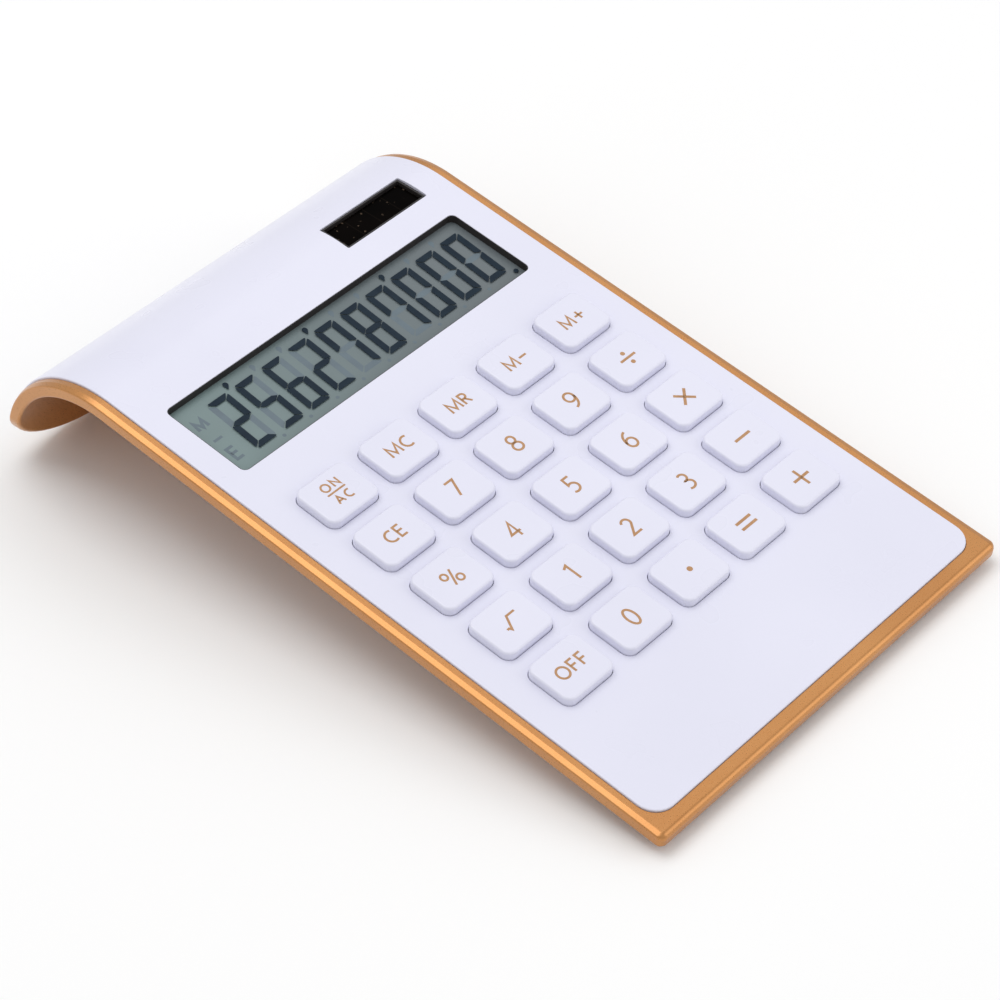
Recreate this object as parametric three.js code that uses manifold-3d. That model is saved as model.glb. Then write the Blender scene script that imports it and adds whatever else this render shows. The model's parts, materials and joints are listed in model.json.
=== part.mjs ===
// Slim desk calculator: a flat slab that curls down at the back into a leg,
// a white cover over a gold shell, 25 keys, a display, a solar cell and a button cell.
//
// Two frames are used, both in millimetres.
//   Desk frame: X right, Y to the back, Z up, with the desk at Z = 0.
//   Face frame: the desk frame turned about X by TILT, so that z = 0 is the white key face.
//               x is right, y runs up the face to the back and z stands out of the face.
// Every sub-part is drawn in the face frame unless its comment says otherwise.
import * as THREE from "three";
import { mergeVertices } from "three/addons/utils/BufferGeometryUtils.js";
import Module from "manifold-3d";

const wasm = await Module();
wasm.setup();

// Stance
const TILT = THREE.MathUtils.degToRad(10);
const DESK_DROP = 22.27; // the desk's distance below the face frame's origin, along Z

// Body outline
const BODY_WIDTH = 108.5;
const BODY_FRONT = -97.2;
const BODY_CORNER = 1.6;
const CURL_START = 58; // where the flat face turns into the curl
const CURL_RADIUS = 30; // outer face of the white cover
const CURL_ANGLE = Math.PI / 2 + TILT; // the leg ends upright on the desk
const CURL_STEPS = 16;
const LEG_LENGTH = 4; // straight stretch below the curl, before it is trimmed above the desk
const LEG_CLEARANCE = 0.7; // the leg's lower edge above the desk; its pads fill the rest
const LEG_CORNER_WIDTH = 26;
const LEG_CORNER_HEIGHT = 12.5;

// Shell and cover, as depths below the white face
const RIM_DEPTH = 0.45;
const RIM_WIDTH = 2.7;
const FRONT_RIM_WIDTH = 3.8;
const SHELL_DEPTH = 3.75;
const COVER_THICKNESS = 1.1;
const COVER_CORNER = 5;
const SEAM = 0.3; // air gap between pieces that lie against each other
const CUT = 5; // how far a cutting block reaches past what it cuts

// The blocks that the curled layers are trimmed to
const TRIM_REACH = 240;
const TRIM_ABOVE = 10;

// Key field
const KEY_NAMES = [
  ["on_ac", "mc", "mr", "m_minus", "m_plus"],
  ["ce", "7", "8", "9", "divide"],
  ["percent", "4", "5", "6", "multiply"],
  ["square_root", "1", "2", "3", "minus"],
  ["off", "0", "decimal", "equals", "plus"],
];
const KEY_PITCH_X = 18.3;
const KEY_FIELD_X = 0.25; // the middle column's centre
const KEY_PITCH_Y = 16;
const KEY_WIDTH = 14.3;
const KEY_LENGTH = 12.1;
const KEY_CORNER = 2.2;
const KEY_TOP = 2;
const KEY_EDGE = 0.45; // chamfer round the top
const KEY_FLANGE = 0.5;
const KEY_FLANGE_THICKNESS = 0.8;
const KEY_WALL = 1.2;
const KEY_ROOF = 1.4;
const KEY_CLEARANCE = 0.25;
const KEY_FRONT_ROW = -4 * KEY_PITCH_Y + KEY_LENGTH / 2; // centre of the row nearest the user

// Display window in the cover, and the heights of what lies under it
const DISPLAY_WIDTH = 89;
const DISPLAY_LENGTH = 23.8;
const DISPLAY_X = -0.5;
const DISPLAY_CENTRE = 36.15;
const DISPLAY_CORNER = 1.5;
const LINING_GAP = 0.2;
const LINING_TOP = -0.25;
const BEZEL_BOTTOM = -1.5;
const BEZEL_FLANGE_X = 1.3; // how far the bezel's flange and the glass reach past the window
const BEZEL_FLANGE_Y = 2;
const VIEW_INSET = 0.7;
const GLASS_TOP = -1.75;
const GLASS_BOTTOM = -4.05;
const GLASS_REACH_Y = 2.5;
const RIBBON = { width: 52, length: 11, y: 20.5, bottom: -4.55, top: -4.35 };

// Solar window in the curl, and the heights of what lies under it in its own flat seat
const SOLAR_WIDTH = 25.3;
const SOLAR_LENGTH = 9.15;
const SOLAR_X = 31.55;
const SOLAR_ARC = 2.53; // distance along the curl from CURL_START to the window's centre
const HOLDER_TOP = -0.55;
const HOLDER_FLANGE_TOP = -1.9;
const HOLDER_BOTTOM = -2.65;
const HOLDER_FLANGE_X = 1;
const HOLDER_FLANGE_Y = 0.8;
const CAVITY_INSET = 0.7;
const CAVITY_FLOOR = -2.25;
const CELL_GAP = 0.2;
const CELL_BOTTOM = -2;
const CELL_TOP = -1.45;
const POCKET = { width: 29, length: 19, floor: -2.95, y: -2.8 }; // in the shell, under the cell
const WIRE_RADIUS = 0.4;
const WIRE_SPREAD = 2.5;

// Underside housing
const OPENING_HALF_WIDTH = 46.2;
const OPENING_FRONT = -73.7;
const OPENING_BACK = 53.7;
const TRAY_WALL = 1.3;
const TRAY_FLOOR = -8.6; // its outer face
const TRAY_CORNER = 4;
const SCREW_HEAD_WELL = { radius: 2.1, depth: 0.7 };
const SCREW_CLEARANCE = 0.2;

// Battery box on the underside
const BATTERY_RADIUS = 5.8;
const BATTERY_HEIGHT = 5.4;
const BATTERY_TOP = -5.05;
const BATTERY_Y = 35;
const BOX_WIDTH = 34;
const BOX_LENGTH = 26;
const BOX_FLOOR = -12.4;
const DOOR_TOP = -10.95;
const DOOR_TONGUE = 0.9;
const DOOR_WIDTH = 28;
const DOOR_THICKNESS = 1.3;
const GRIP = { rows: 4, width: 14, length: 0.8, depth: 0.5, start: -3, pitch: 1.7 };
const BATTERY_STEP = 1.2; // the negative cap's shoulder
const CONTACT_THICKNESS = 0.3;
const BLADE = { thickness: 0.4, length: 5, bottom: -7, top: -5.2, gap: 0.3 };

// Inside
const MAT_TOP = -3.6;
const MAT_THICKNESS = 0.8;
const MAT_WIDTH = 90;
const DOME = { topRadius: 2.2, footRadius: 3.4, height: 2.6, root: 0.1 };
const BOARD_TOP = -4.75;
const BOARD_THICKNESS = 1.2;
const BOARD_WIDTH = 82;
const BOARD_BACK = 19.4;
const PART_GAP = 0.15; // air gap between the board and what is fitted under it
const EPOXY = { radius: 6, height: 0.9, y: -27, steps: 4 };
const CAPACITOR = { width: 3.2, length: 1.6, height: 0.9, x: 24, y: 12 };
const BOSS_RADIUS = 2.2;
const PILOT_RADIUS = 0.95;
const CASE_SCREWS = [[-43.8, 17.3], [43.8, 17.3], [-43.8, -69.8], [0, -69.8], [43.8, -69.8]];
const POST_RADIUS = 1.2;
const POST_PILOT_RADIUS = 0.6;
const POST_X = 1.5 * KEY_PITCH_X;
const POST_ROWS = [-1.95, -49.95];
const BOARD_SCREWS = POST_ROWS.flatMap((y) => [[-POST_X, y], [POST_X, y]]);

// Feet
const FOOT_RADIUS = 4.5;
const FOOT_TAPER = 0.4;
const FOOT_BLANK = 8; // the foot's length before it is cut off under the tray
const FOOT_X = 36;
const FOOT_Y = -62;
const PAD_LENGTH = 16;
const PAD_WIDTH = 2;
const PAD_HEIGHT = 1.7;
const PAD_X = 18;

const FINISHES = {
  white: { color: 0xe9e8f4, roughness: 0.3, metalness: 0 },
  gold: { color: 0xc08a58, roughness: 0.38, metalness: 0.6 },
  black: { color: 0x201e1f, roughness: 0.5, metalness: 0 },
  glass: { color: 0x84978f, roughness: 0.15, metalness: 0 },
  cell: { color: 0x140c0a, roughness: 0.15, metalness: 0.1 },
  rubber: { color: 0x2b2b2d, roughness: 0.85, metalness: 0 },
  silicone: { color: 0xd8d6d0, roughness: 0.7, metalness: 0 },
  board: { color: 0x2f6b3c, roughness: 0.5, metalness: 0 },
  epoxy: { color: 0x111111, roughness: 0.35, metalness: 0 },
  ceramic: { color: 0xb39a72, roughness: 0.5, metalness: 0 },
  film: { color: 0xb86f2a, roughness: 0.4, metalness: 0 },
  steel: { color: 0xb9babd, roughness: 0.3, metalness: 0.9 },
  wireRed: { color: 0xa82020, roughness: 0.5, metalness: 0 },
  wireBlack: { color: 0x1a1a1a, roughness: 0.5, metalness: 0 },
};

const ALONG_X = new THREE.Matrix4().makeBasis(
  new THREE.Vector3(0, 1, 0),
  new THREE.Vector3(0, 0, 1),
  new THREE.Vector3(1, 0, 0),
);
const ALONG_Y = new THREE.Matrix4().makeBasis(
  new THREE.Vector3(1, 0, 0),
  new THREE.Vector3(0, 0, 1),
  new THREE.Vector3(0, -1, 0),
);
const DESK_TO_FACE = new THREE.Matrix4()
  .makeRotationX(-TILT)
  .multiply(new THREE.Matrix4().makeTranslation(0, 0, -DESK_DROP));

// ---- geometry helpers ----

function toSolid(geometry) {
  const bare = geometry.clone();
  bare.deleteAttribute("normal");
  bare.deleteAttribute("uv");
  const merged = mergeVertices(bare, 1e-5);
  return new wasm.Manifold(new wasm.Mesh({
    numProp: 3,
    vertProperties: Float32Array.from(merged.attributes.position.array),
    triVerts: Uint32Array.from(merged.index.array),
  }));
}

function toGeometry(solid) {
  const mesh = solid.getMesh();
  const geometry = new THREE.BufferGeometry();
  geometry.setAttribute("position", new THREE.BufferAttribute(mesh.vertProperties, 3));
  geometry.setIndex(new THREE.BufferAttribute(mesh.triVerts, 1));
  return geometry;
}

function joined(solids) {
  return solids.reduce((sum, solid) => sum.add(solid));
}

function roundedRect(width, length, radius, x = 0, y = 0) {
  const halfWidth = width / 2;
  const halfLength = length / 2;
  const shape = new THREE.Shape();
  shape.absarc(x + halfWidth - radius, y - halfLength + radius, radius, -Math.PI / 2, 0);
  shape.absarc(x + halfWidth - radius, y + halfLength - radius, radius, 0, Math.PI / 2);
  shape.absarc(x - halfWidth + radius, y + halfLength - radius, radius, Math.PI / 2, Math.PI);
  shape.absarc(x - halfWidth + radius, y - halfLength + radius, radius, Math.PI, 1.5 * Math.PI);
  shape.closePath();
  return shape;
}

// A straight-sided block of the given outline, between two heights.
function slab(shape, bottom, top, curveSegments = 4) {
  const geometry = new THREE.ExtrudeGeometry(shape, {
    depth: top - bottom,
    bevelEnabled: false,
    curveSegments,
  });
  return toSolid(geometry.translate(0, 0, bottom));
}

function block(width, length, bottom, top, x = 0, y = 0) {
  const geometry = new THREE.BoxGeometry(width, length, top - bottom);
  return toSolid(geometry.translate(x, y, (top + bottom) / 2));
}

function disc(radius, bottom, top, x = 0, y = 0, sides = 20) {
  const geometry = new THREE.CylinderGeometry(radius, radius, top - bottom, sides);
  return toSolid(geometry.rotateX(Math.PI / 2).translate(x, y, (top + bottom) / 2));
}

// ---- the curled body ----

// The point at a depth below the white face, at an angle round the curl.
function curlPoint(depth, angle) {
  const radius = CURL_RADIUS - depth;
  return new THREE.Vector2(
    CURL_START + radius * Math.sin(angle),
    -CURL_RADIUS + radius * Math.cos(angle),
  );
}

// One face of the curled body in section: flat, then round the curl, then down the leg.
function curlLine(depth, front) {
  const points = [new THREE.Vector2(front, -depth)];
  for (let step = 0; step <= CURL_STEPS; step += 1) {
    points.push(curlPoint(depth, (CURL_ANGLE * step) / CURL_STEPS));
  }
  const foot = new THREE.Vector2(Math.cos(CURL_ANGLE), -Math.sin(CURL_ANGLE));
  points.push(points[points.length - 1].clone().addScaledVector(foot, LEG_LENGTH));
  return points;
}

// A layer of the curled body between two depths, over a width about the centre line.
function curledLayer(outerDepth, innerDepth, width, front) {
  const outline = curlLine(outerDepth, front).concat(curlLine(innerDepth, front).reverse());
  const geometry = new THREE.ExtrudeGeometry(new THREE.Shape(outline), {
    depth: width,
    bevelEnabled: false,
  });
  return toSolid(geometry.translate(0, 0, -width / 2).applyMatrix4(ALONG_X));
}

// What a curled layer is trimmed to: rounded front corners, seen from above the face.
function planTrim(width, front, corner) {
  const outline = roundedRect(width, TRIM_REACH, corner, 0, front + TRIM_REACH / 2);
  return slab(outline, -2 * CURL_RADIUS, TRIM_ABOVE, 4);
}

// What a curled layer is trimmed to: the leg's swept lower corners, seen from behind.
// The flat face ahead of the curl keeps its full width.
function legTrim(width, inset) {
  const halfWidth = width / 2;
  const bottom = LEG_CLEARANCE + inset;
  const shape = new THREE.Shape();
  shape.moveTo(halfWidth, 2 * CURL_RADIUS);
  shape.lineTo(-halfWidth, 2 * CURL_RADIUS);
  const across = LEG_CORNER_WIDTH - inset;
  const up = LEG_CORNER_HEIGHT;
  shape.absellipse(-halfWidth + across, bottom + up, across, up, Math.PI, 1.5 * Math.PI);
  shape.absellipse(halfWidth - across, bottom + up, across, up, -Math.PI / 2, 0);
  shape.closePath();
  const geometry = new THREE.ExtrudeGeometry(shape, {
    depth: TRIM_REACH,
    bevelEnabled: false,
    curveSegments: 9,
  });
  geometry.applyMatrix4(ALONG_Y).translate(0, TRIM_REACH / 2, 0).applyMatrix4(DESK_TO_FACE);
  const face = block(width, TRIM_REACH, -CURL_RADIUS / 2, TRIM_ABOVE, 0, CURL_START - TRIM_REACH / 2);
  return toSolid(geometry).add(face);
}

function curledPiece(outerDepth, innerDepth, width, front, corner, legInset) {
  return curledLayer(outerDepth, innerDepth, width, front)
    .intersect(planTrim(width, front, corner))
    .intersect(legTrim(width, legInset));
}

// Solids drawn flat are moved onto the curl under the solar window.
function ontoSolarSeat(solid) {
  const angle = SOLAR_ARC / CURL_RADIUS;
  const seat = curlPoint(0, angle);
  const place = new THREE.Matrix4()
    .makeTranslation(SOLAR_X, seat.x, seat.y)
    .multiply(new THREE.Matrix4().makeRotationX(-angle));
  return toSolid(toGeometry(solid).applyMatrix4(place));
}

function padBlock(side, clearance, bottom, top) {
  const legOuter = CURL_START * Math.cos(TILT) + CURL_RADIUS * Math.sin(TILT) + CURL_RADIUS;
  const legMiddle = legOuter - (RIM_DEPTH + SHELL_DEPTH) / 2;
  const geometry = new THREE.BoxGeometry(
    PAD_LENGTH + 2 * clearance,
    PAD_WIDTH + 2 * clearance,
    top - bottom,
  );
  geometry.translate(side * PAD_X, legMiddle, (top + bottom) / 2);
  return toSolid(geometry.applyMatrix4(DESK_TO_FACE));
}

// The gold body: rim, sides and leg in one moulding, open under the keys and display.
function makeShell() {
  const coverWidth = BODY_WIDTH - 2 * RIM_WIDTH;
  const coverFront = BODY_FRONT + FRONT_RIM_WIDTH;
  const body = curledPiece(RIM_DEPTH, SHELL_DEPTH, BODY_WIDTH, BODY_FRONT, BODY_CORNER, 0);
  const seat = curledPiece(-CUT, COVER_THICKNESS + SEAM, coverWidth, coverFront, COVER_CORNER, RIM_WIDTH);
  const openingLength = OPENING_BACK - OPENING_FRONT;
  const openingY = (OPENING_BACK + OPENING_FRONT) / 2;
  const opening = roundedRect(2 * OPENING_HALF_WIDTH, openingLength, TRAY_CORNER, 0, openingY);
  const solarPocket = ontoSolarSeat(block(POCKET.width, POCKET.length, POCKET.floor, 1, 0, POCKET.y));
  const padGrooves = [-1, 1].map((side) => padBlock(side, SEAM, -CUT, PAD_HEIGHT + SEAM));
  return body
    .subtract(seat)
    .subtract(slab(opening, -SHELL_DEPTH - CUT, CUT))
    .subtract(solarPocket)
    .subtract(joined(padGrooves));
}

// The display window's outline, drawn in by an inset.
function displayOutline(inset) {
  return roundedRect(
    DISPLAY_WIDTH - 2 * inset,
    DISPLAY_LENGTH - 2 * inset,
    DISPLAY_CORNER - inset,
    DISPLAY_X,
    DISPLAY_CENTRE,
  );
}

// The white cover: a thin sheet over the face and the curl, with its screw bosses.
function makeCover(keyCentres) {
  const width = BODY_WIDTH - 2 * RIM_WIDTH - 2 * SEAM;
  const front = BODY_FRONT + FRONT_RIM_WIDTH + SEAM;
  const sheet = curledPiece(0, COVER_THICKNESS, width, front, COVER_CORNER - SEAM, RIM_WIDTH + SEAM);
  const holeWidth = KEY_WIDTH + 2 * KEY_CLEARANCE;
  const holeLength = KEY_LENGTH + 2 * KEY_CLEARANCE;
  const keyHoles = keyCentres.map(([x, y]) => (
    slab(roundedRect(holeWidth, holeLength, KEY_CORNER + KEY_CLEARANCE, x, y), -CUT, CUT, 2)
  ));
  const displayHole = slab(displayOutline(0), -CUT, CUT);
  const solarHole = ontoSolarSeat(block(SOLAR_WIDTH, SOLAR_LENGTH, -CUT, CUT));
  const bossFoot = TRAY_FLOOR + TRAY_WALL + SEAM;
  const postFoot = BOARD_TOP + SEAM;
  const root = -COVER_THICKNESS / 2;
  const bosses = CASE_SCREWS.map(([x, y]) => disc(BOSS_RADIUS, bossFoot, root, x, y, 12));
  const posts = BOARD_SCREWS.map(([x, y]) => disc(POST_RADIUS, postFoot, root, x, y, 8));
  const pilotEnd = -COVER_THICKNESS - 3 * SEAM;
  const pilots = CASE_SCREWS.map(([x, y]) => disc(PILOT_RADIUS, bossFoot - 1, pilotEnd, x, y, 8));
  const postPilots = BOARD_SCREWS.map(([x, y]) => (
    disc(POST_PILOT_RADIUS, postFoot - 1, pilotEnd, x, y, 8)
  ));
  return joined([sheet, ...bosses, ...posts])
    .subtract(joined([...keyHoles, displayHole, solarHole, ...pilots, ...postPilots]));
}

// ---- underside ----

function trayOutline(margin) {
  const width = 2 * (OPENING_HALF_WIDTH + margin);
  const length = OPENING_BACK - OPENING_FRONT + 2 * margin;
  const middle = (OPENING_BACK + OPENING_FRONT) / 2;
  return roundedRect(width, length, TRAY_CORNER + margin, 0, middle);
}

// A shallow tray under the slab, with the battery box standing out of its floor.
function makeBottomCover() {
  const top = -SHELL_DEPTH - SEAM;
  const inside = TRAY_FLOOR + TRAY_WALL;
  const walls = slab(trayOutline(TRAY_WALL), TRAY_FLOOR, top)
    .subtract(slab(trayOutline(0), inside, 1));
  const box = block(BOX_WIDTH, BOX_LENGTH, BOX_FLOOR, TRAY_FLOOR + 0.5, 0, BATTERY_Y);
  const channelY = BATTERY_Y - TRAY_WALL;
  const channel = block(
    DOOR_WIDTH + 2 * DOOR_TONGUE + 2 * SEAM,
    BOX_LENGTH,
    DOOR_TOP - DOOR_THICKNESS - SEAM,
    DOOR_TOP + SEAM,
    0,
    channelY,
  );
  const mouth = block(DOOR_WIDTH + 2 * SEAM, BOX_LENGTH, BOX_FLOOR - 1, DOOR_TOP, 0, channelY);
  const well = disc(BATTERY_RADIUS + SEAM, BOX_FLOOR, 1, 0, BATTERY_Y, 24);
  const screwHoles = CASE_SCREWS.map(([x, y]) => (
    disc(PILOT_RADIUS + SCREW_CLEARANCE, TRAY_FLOOR - 1, 0, x, y, 12)
  ));
  const headWells = CASE_SCREWS.map(([x, y]) => (
    disc(SCREW_HEAD_WELL.radius, TRAY_FLOOR - 1, TRAY_FLOOR + SCREW_HEAD_WELL.depth, x, y, 16)
  ));
  return walls
    .add(box)
    .subtract(joined([channel, mouth, well, ...screwHoles, ...headWells]));
}

// The battery door: a plate with a tongue down each side that runs in the box's channel.
function makeBatteryDoor() {
  const length = BOX_LENGTH - TRAY_WALL - SEAM;
  const y = BATTERY_Y - (TRAY_WALL + SEAM) / 2;
  const tongues = block(DOOR_WIDTH + 2 * DOOR_TONGUE, length, DOOR_TOP - DOOR_THICKNESS, DOOR_TOP, 0, y);
  const plate = block(DOOR_WIDTH, length, BOX_FLOOR, DOOR_TOP, 0, y);
  const grips = [];
  for (let row = 0; row < GRIP.rows; row += 1) {
    const gripY = BATTERY_Y + GRIP.start - GRIP.pitch * row;
    grips.push(block(GRIP.width, GRIP.length, BOX_FLOOR - 1, BOX_FLOOR + GRIP.depth, 0, gripY));
  }
  return tongues.add(plate).subtract(joined(grips));
}

// Screws stand head down under the piece that they hold.
function makeScrew(headRadius, headHeight, shankRadius, length, headFace) {
  const head = disc(headRadius, headFace, headFace + headHeight, 0, 0, 12);
  const shank = disc(shankRadius, headFace + headHeight / 2, headFace + length, 0, 0, 8);
  const slotDepth = headHeight / 2;
  const arms = [
    block(headRadius * 1.2, headRadius * 0.3, headFace - 1, headFace + slotDepth),
    block(headRadius * 0.3, headRadius * 1.2, headFace - 1, headFace + slotDepth),
  ];
  return head.add(shank).subtract(joined(arms));
}

// A front foot stands upright on the desk and is cut off just under the tray.
function makeFrontFoot(side) {
  const foot = new THREE.CylinderGeometry(FOOT_RADIUS, FOOT_RADIUS - FOOT_TAPER, FOOT_BLANK, 24);
  foot.rotateX(Math.PI / 2);
  foot.translate(0, 0, FOOT_BLANK / 2);
  foot.applyMatrix4(DESK_TO_FACE);
  const onDesk = new THREE.Vector3(0, 0, 0).applyMatrix4(DESK_TO_FACE);
  const drop = -DESK_DROP / Math.cos(TILT) - FOOT_Y * Math.tan(TILT);
  foot.translate(side * FOOT_X, FOOT_Y - onDesk.y, drop - onDesk.z);
  const cutWidth = 4 * FOOT_RADIUS;
  const cutBottom = TRAY_FLOOR - SEAM;
  const above = block(cutWidth, cutWidth, cutBottom, cutBottom + 2 * FOOT_BLANK, side * FOOT_X, FOOT_Y);
  return toSolid(foot).subtract(above);
}

// ---- keys, mat and board ----

function keyCentre(column, row) {
  return [KEY_FIELD_X + (column - 2) * KEY_PITCH_X, KEY_FRONT_ROW + (4 - row) * KEY_PITCH_Y];
}

// A hollow cap with a flange that stays under the cover.
function makeKey() {
  const flangeTop = -COVER_THICKNESS - SEAM;
  const bottom = flangeTop - KEY_FLANGE_THICKNESS;
  const cap = new THREE.ExtrudeGeometry(roundedRect(KEY_WIDTH, KEY_LENGTH, KEY_CORNER), {
    depth: KEY_TOP - bottom - 2 * KEY_EDGE,
    bevelThickness: KEY_EDGE,
    bevelSize: KEY_EDGE,
    bevelOffset: -KEY_EDGE,
    bevelSegments: 1,
    curveSegments: 2,
  });
  cap.translate(0, 0, bottom + KEY_EDGE);
  const flange = slab(
    roundedRect(KEY_WIDTH + 2 * KEY_FLANGE, KEY_LENGTH + 2 * KEY_FLANGE, KEY_CORNER),
    bottom,
    flangeTop,
    1,
  );
  const hollow = block(KEY_WIDTH - 2 * KEY_WALL, KEY_LENGTH - 2 * KEY_WALL, bottom - 1, KEY_TOP - KEY_ROOF);
  return toSolid(cap).add(flange).subtract(hollow);
}

// The silicone mat, with one dome inside each key.
function makeMat(keyCentres) {
  const front = KEY_FRONT_ROW - KEY_LENGTH / 2 - 2.5;
  const back = KEY_LENGTH + 1.8;
  const outline = roundedRect(MAT_WIDTH, back - front, 2, 0, (back + front) / 2);
  const sheet = slab(outline, MAT_TOP - MAT_THICKNESS, MAT_TOP);
  const domes = keyCentres.map(([x, y]) => {
    const dome = new THREE.CylinderGeometry(DOME.topRadius, DOME.footRadius, DOME.height, 8);
    dome.rotateX(Math.PI / 2).translate(x, y, MAT_TOP - DOME.root + DOME.height / 2);
    return toSolid(dome);
  });
  const holes = BOARD_SCREWS.map(([x, y]) => disc(POST_RADIUS + SEAM, -9, 0, x, y, 12));
  return joined([sheet, ...domes]).subtract(joined(holes));
}

function makeBoard() {
  const front = KEY_FRONT_ROW - KEY_LENGTH / 2 - 2;
  const outline = roundedRect(BOARD_WIDTH, BOARD_BACK - front, 1.5, 0, (BOARD_BACK + front) / 2);
  const holes = BOARD_SCREWS.map(([x, y]) => disc(POST_PILOT_RADIUS + SCREW_CLEARANCE, -9, 0, x, y, 10));
  return slab(outline, BOARD_TOP - BOARD_THICKNESS, BOARD_TOP).subtract(joined(holes));
}

// ---- display, solar cell and battery ----

// A black lining for the display window, with a thin flange behind the cover.
function makeDisplayBezel() {
  const flangeWidth = DISPLAY_WIDTH + 2 * BEZEL_FLANGE_X;
  const flangeLength = DISPLAY_LENGTH + 2 * BEZEL_FLANGE_Y;
  const flange = roundedRect(flangeWidth, flangeLength, 1, 0, DISPLAY_CENTRE);
  const flangeTop = -COVER_THICKNESS - PART_GAP;
  return slab(displayOutline(LINING_GAP), (flangeTop + BEZEL_BOTTOM) / 2, LINING_TOP)
    .add(slab(flange, BEZEL_BOTTOM, flangeTop))
    .subtract(slab(displayOutline(VIEW_INSET), -CUT, CUT));
}

function makeDisplayGlass() {
  const width = DISPLAY_WIDTH + 2 * BEZEL_FLANGE_X;
  const length = DISPLAY_LENGTH + 2 * GLASS_REACH_Y;
  return block(width, length, GLASS_BOTTOM, GLASS_TOP, 0, DISPLAY_CENTRE);
}

// A block as large as the solar window, grown by a margin on each side.
function solarBlock(marginX, marginY, bottom, top) {
  return block(SOLAR_WIDTH + 2 * marginX, SOLAR_LENGTH + 2 * marginY, bottom, top);
}

// The solar cell's black holder fills the window's walls and has a flange behind the cover.
function makeSolarHolder() {
  const lining = solarBlock(-LINING_GAP, -LINING_GAP, (CAVITY_FLOOR + HOLDER_BOTTOM) / 2, HOLDER_TOP);
  const flange = solarBlock(HOLDER_FLANGE_X, HOLDER_FLANGE_Y, HOLDER_BOTTOM, HOLDER_FLANGE_TOP);
  const cavity = solarBlock(-CAVITY_INSET, -CAVITY_INSET, CAVITY_FLOOR, 1);
  return ontoSolarSeat(lining.add(flange).subtract(cavity));
}

function makeSolarCell() {
  const margin = -CAVITY_INSET - CELL_GAP;
  return ontoSolarSeat(solarBlock(margin, margin, CELL_BOTTOM, CELL_TOP));
}

// A wire from the solar holder, down behind the display and forward to the board.
function makeSolarWire(side) {
  const x = SOLAR_X + WIRE_SPREAD * side;
  const route = new THREE.CatmullRomCurve3([
    new THREE.Vector3(x, 52.2, -2.9),
    new THREE.Vector3(x, 51.2, -4.6),
    new THREE.Vector3(x, 46, -5.4),
    new THREE.Vector3(x + side, 33, -5.6),
    new THREE.Vector3(x, 22.5, -6.6),
    new THREE.Vector3(x, 17, -6.75),
  ]);
  const section = new THREE.Shape();
  section.absarc(0, 0, WIRE_RADIUS, 0, 2 * Math.PI);
  return toSolid(new THREE.ExtrudeGeometry(section, {
    steps: 12,
    curveSegments: 3,
    extrudePath: route,
  }));
}

function makeBattery() {
  const bottom = BATTERY_TOP - BATTERY_HEIGHT;
  const can = disc(BATTERY_RADIUS, bottom, BATTERY_TOP - 0.5, 0, BATTERY_Y, 24);
  const cap = disc(BATTERY_RADIUS - BATTERY_STEP, bottom + 1, BATTERY_TOP, 0, BATTERY_Y, 24);
  return can.add(cap);
}

// A sprung plate over the battery's cap, with a strip forward to the board.
function makeNegativeContact() {
  const bottom = BATTERY_TOP + CONTACT_THICKNESS - 0.1;
  const top = bottom + CONTACT_THICKNESS;
  return block(8, 9, bottom, top, 0, BATTERY_Y)
    .add(block(2.4, 12, bottom, top, 0, BATTERY_Y - 8.5));
}

// A blade against the battery's side, with a strip forward to the board.
function makePositiveContact() {
  const x = -BATTERY_RADIUS - BLADE.gap - BLADE.thickness / 2;
  const blade = block(BLADE.thickness, BLADE.length, BLADE.bottom, BLADE.top, x, BATTERY_Y);
  const stripTop = BLADE.bottom + CONTACT_THICKNESS;
  const strip = block(2.4, 14, BLADE.bottom, stripTop, x - 1, BATTERY_Y - 8);
  return blade.add(strip);
}

// The processor's drop of epoxy, hanging under the board.
function makeEpoxyDome() {
  const profile = [new THREE.Vector2(0, 0)];
  for (let step = 0; step <= EPOXY.steps; step += 1) {
    const angle = (Math.PI / 2) * (step / EPOXY.steps);
    profile.push(new THREE.Vector2(EPOXY.radius * Math.cos(angle), EPOXY.height * Math.sin(angle)));
  }
  const dome = new THREE.LatheGeometry(profile, 16);
  dome.rotateX(-Math.PI / 2);
  dome.translate(0, EPOXY.y, BOARD_TOP - BOARD_THICKNESS - PART_GAP);
  return toSolid(dome);
}

// ---- assembly ----

function addMesh(parent, name, solid, finish) {
  const mesh = new THREE.Mesh(toGeometry(solid), new THREE.MeshStandardMaterial(FINISHES[finish]));
  mesh.name = name;
  parent.add(mesh);
  return mesh;
}

function addCopies(parent, prefix, solid, finish, places) {
  places.forEach(([x, y], index) => {
    addMesh(parent, `${prefix}_${index + 1}`, solid, finish).position.set(x, y, 0);
  });
}

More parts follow.
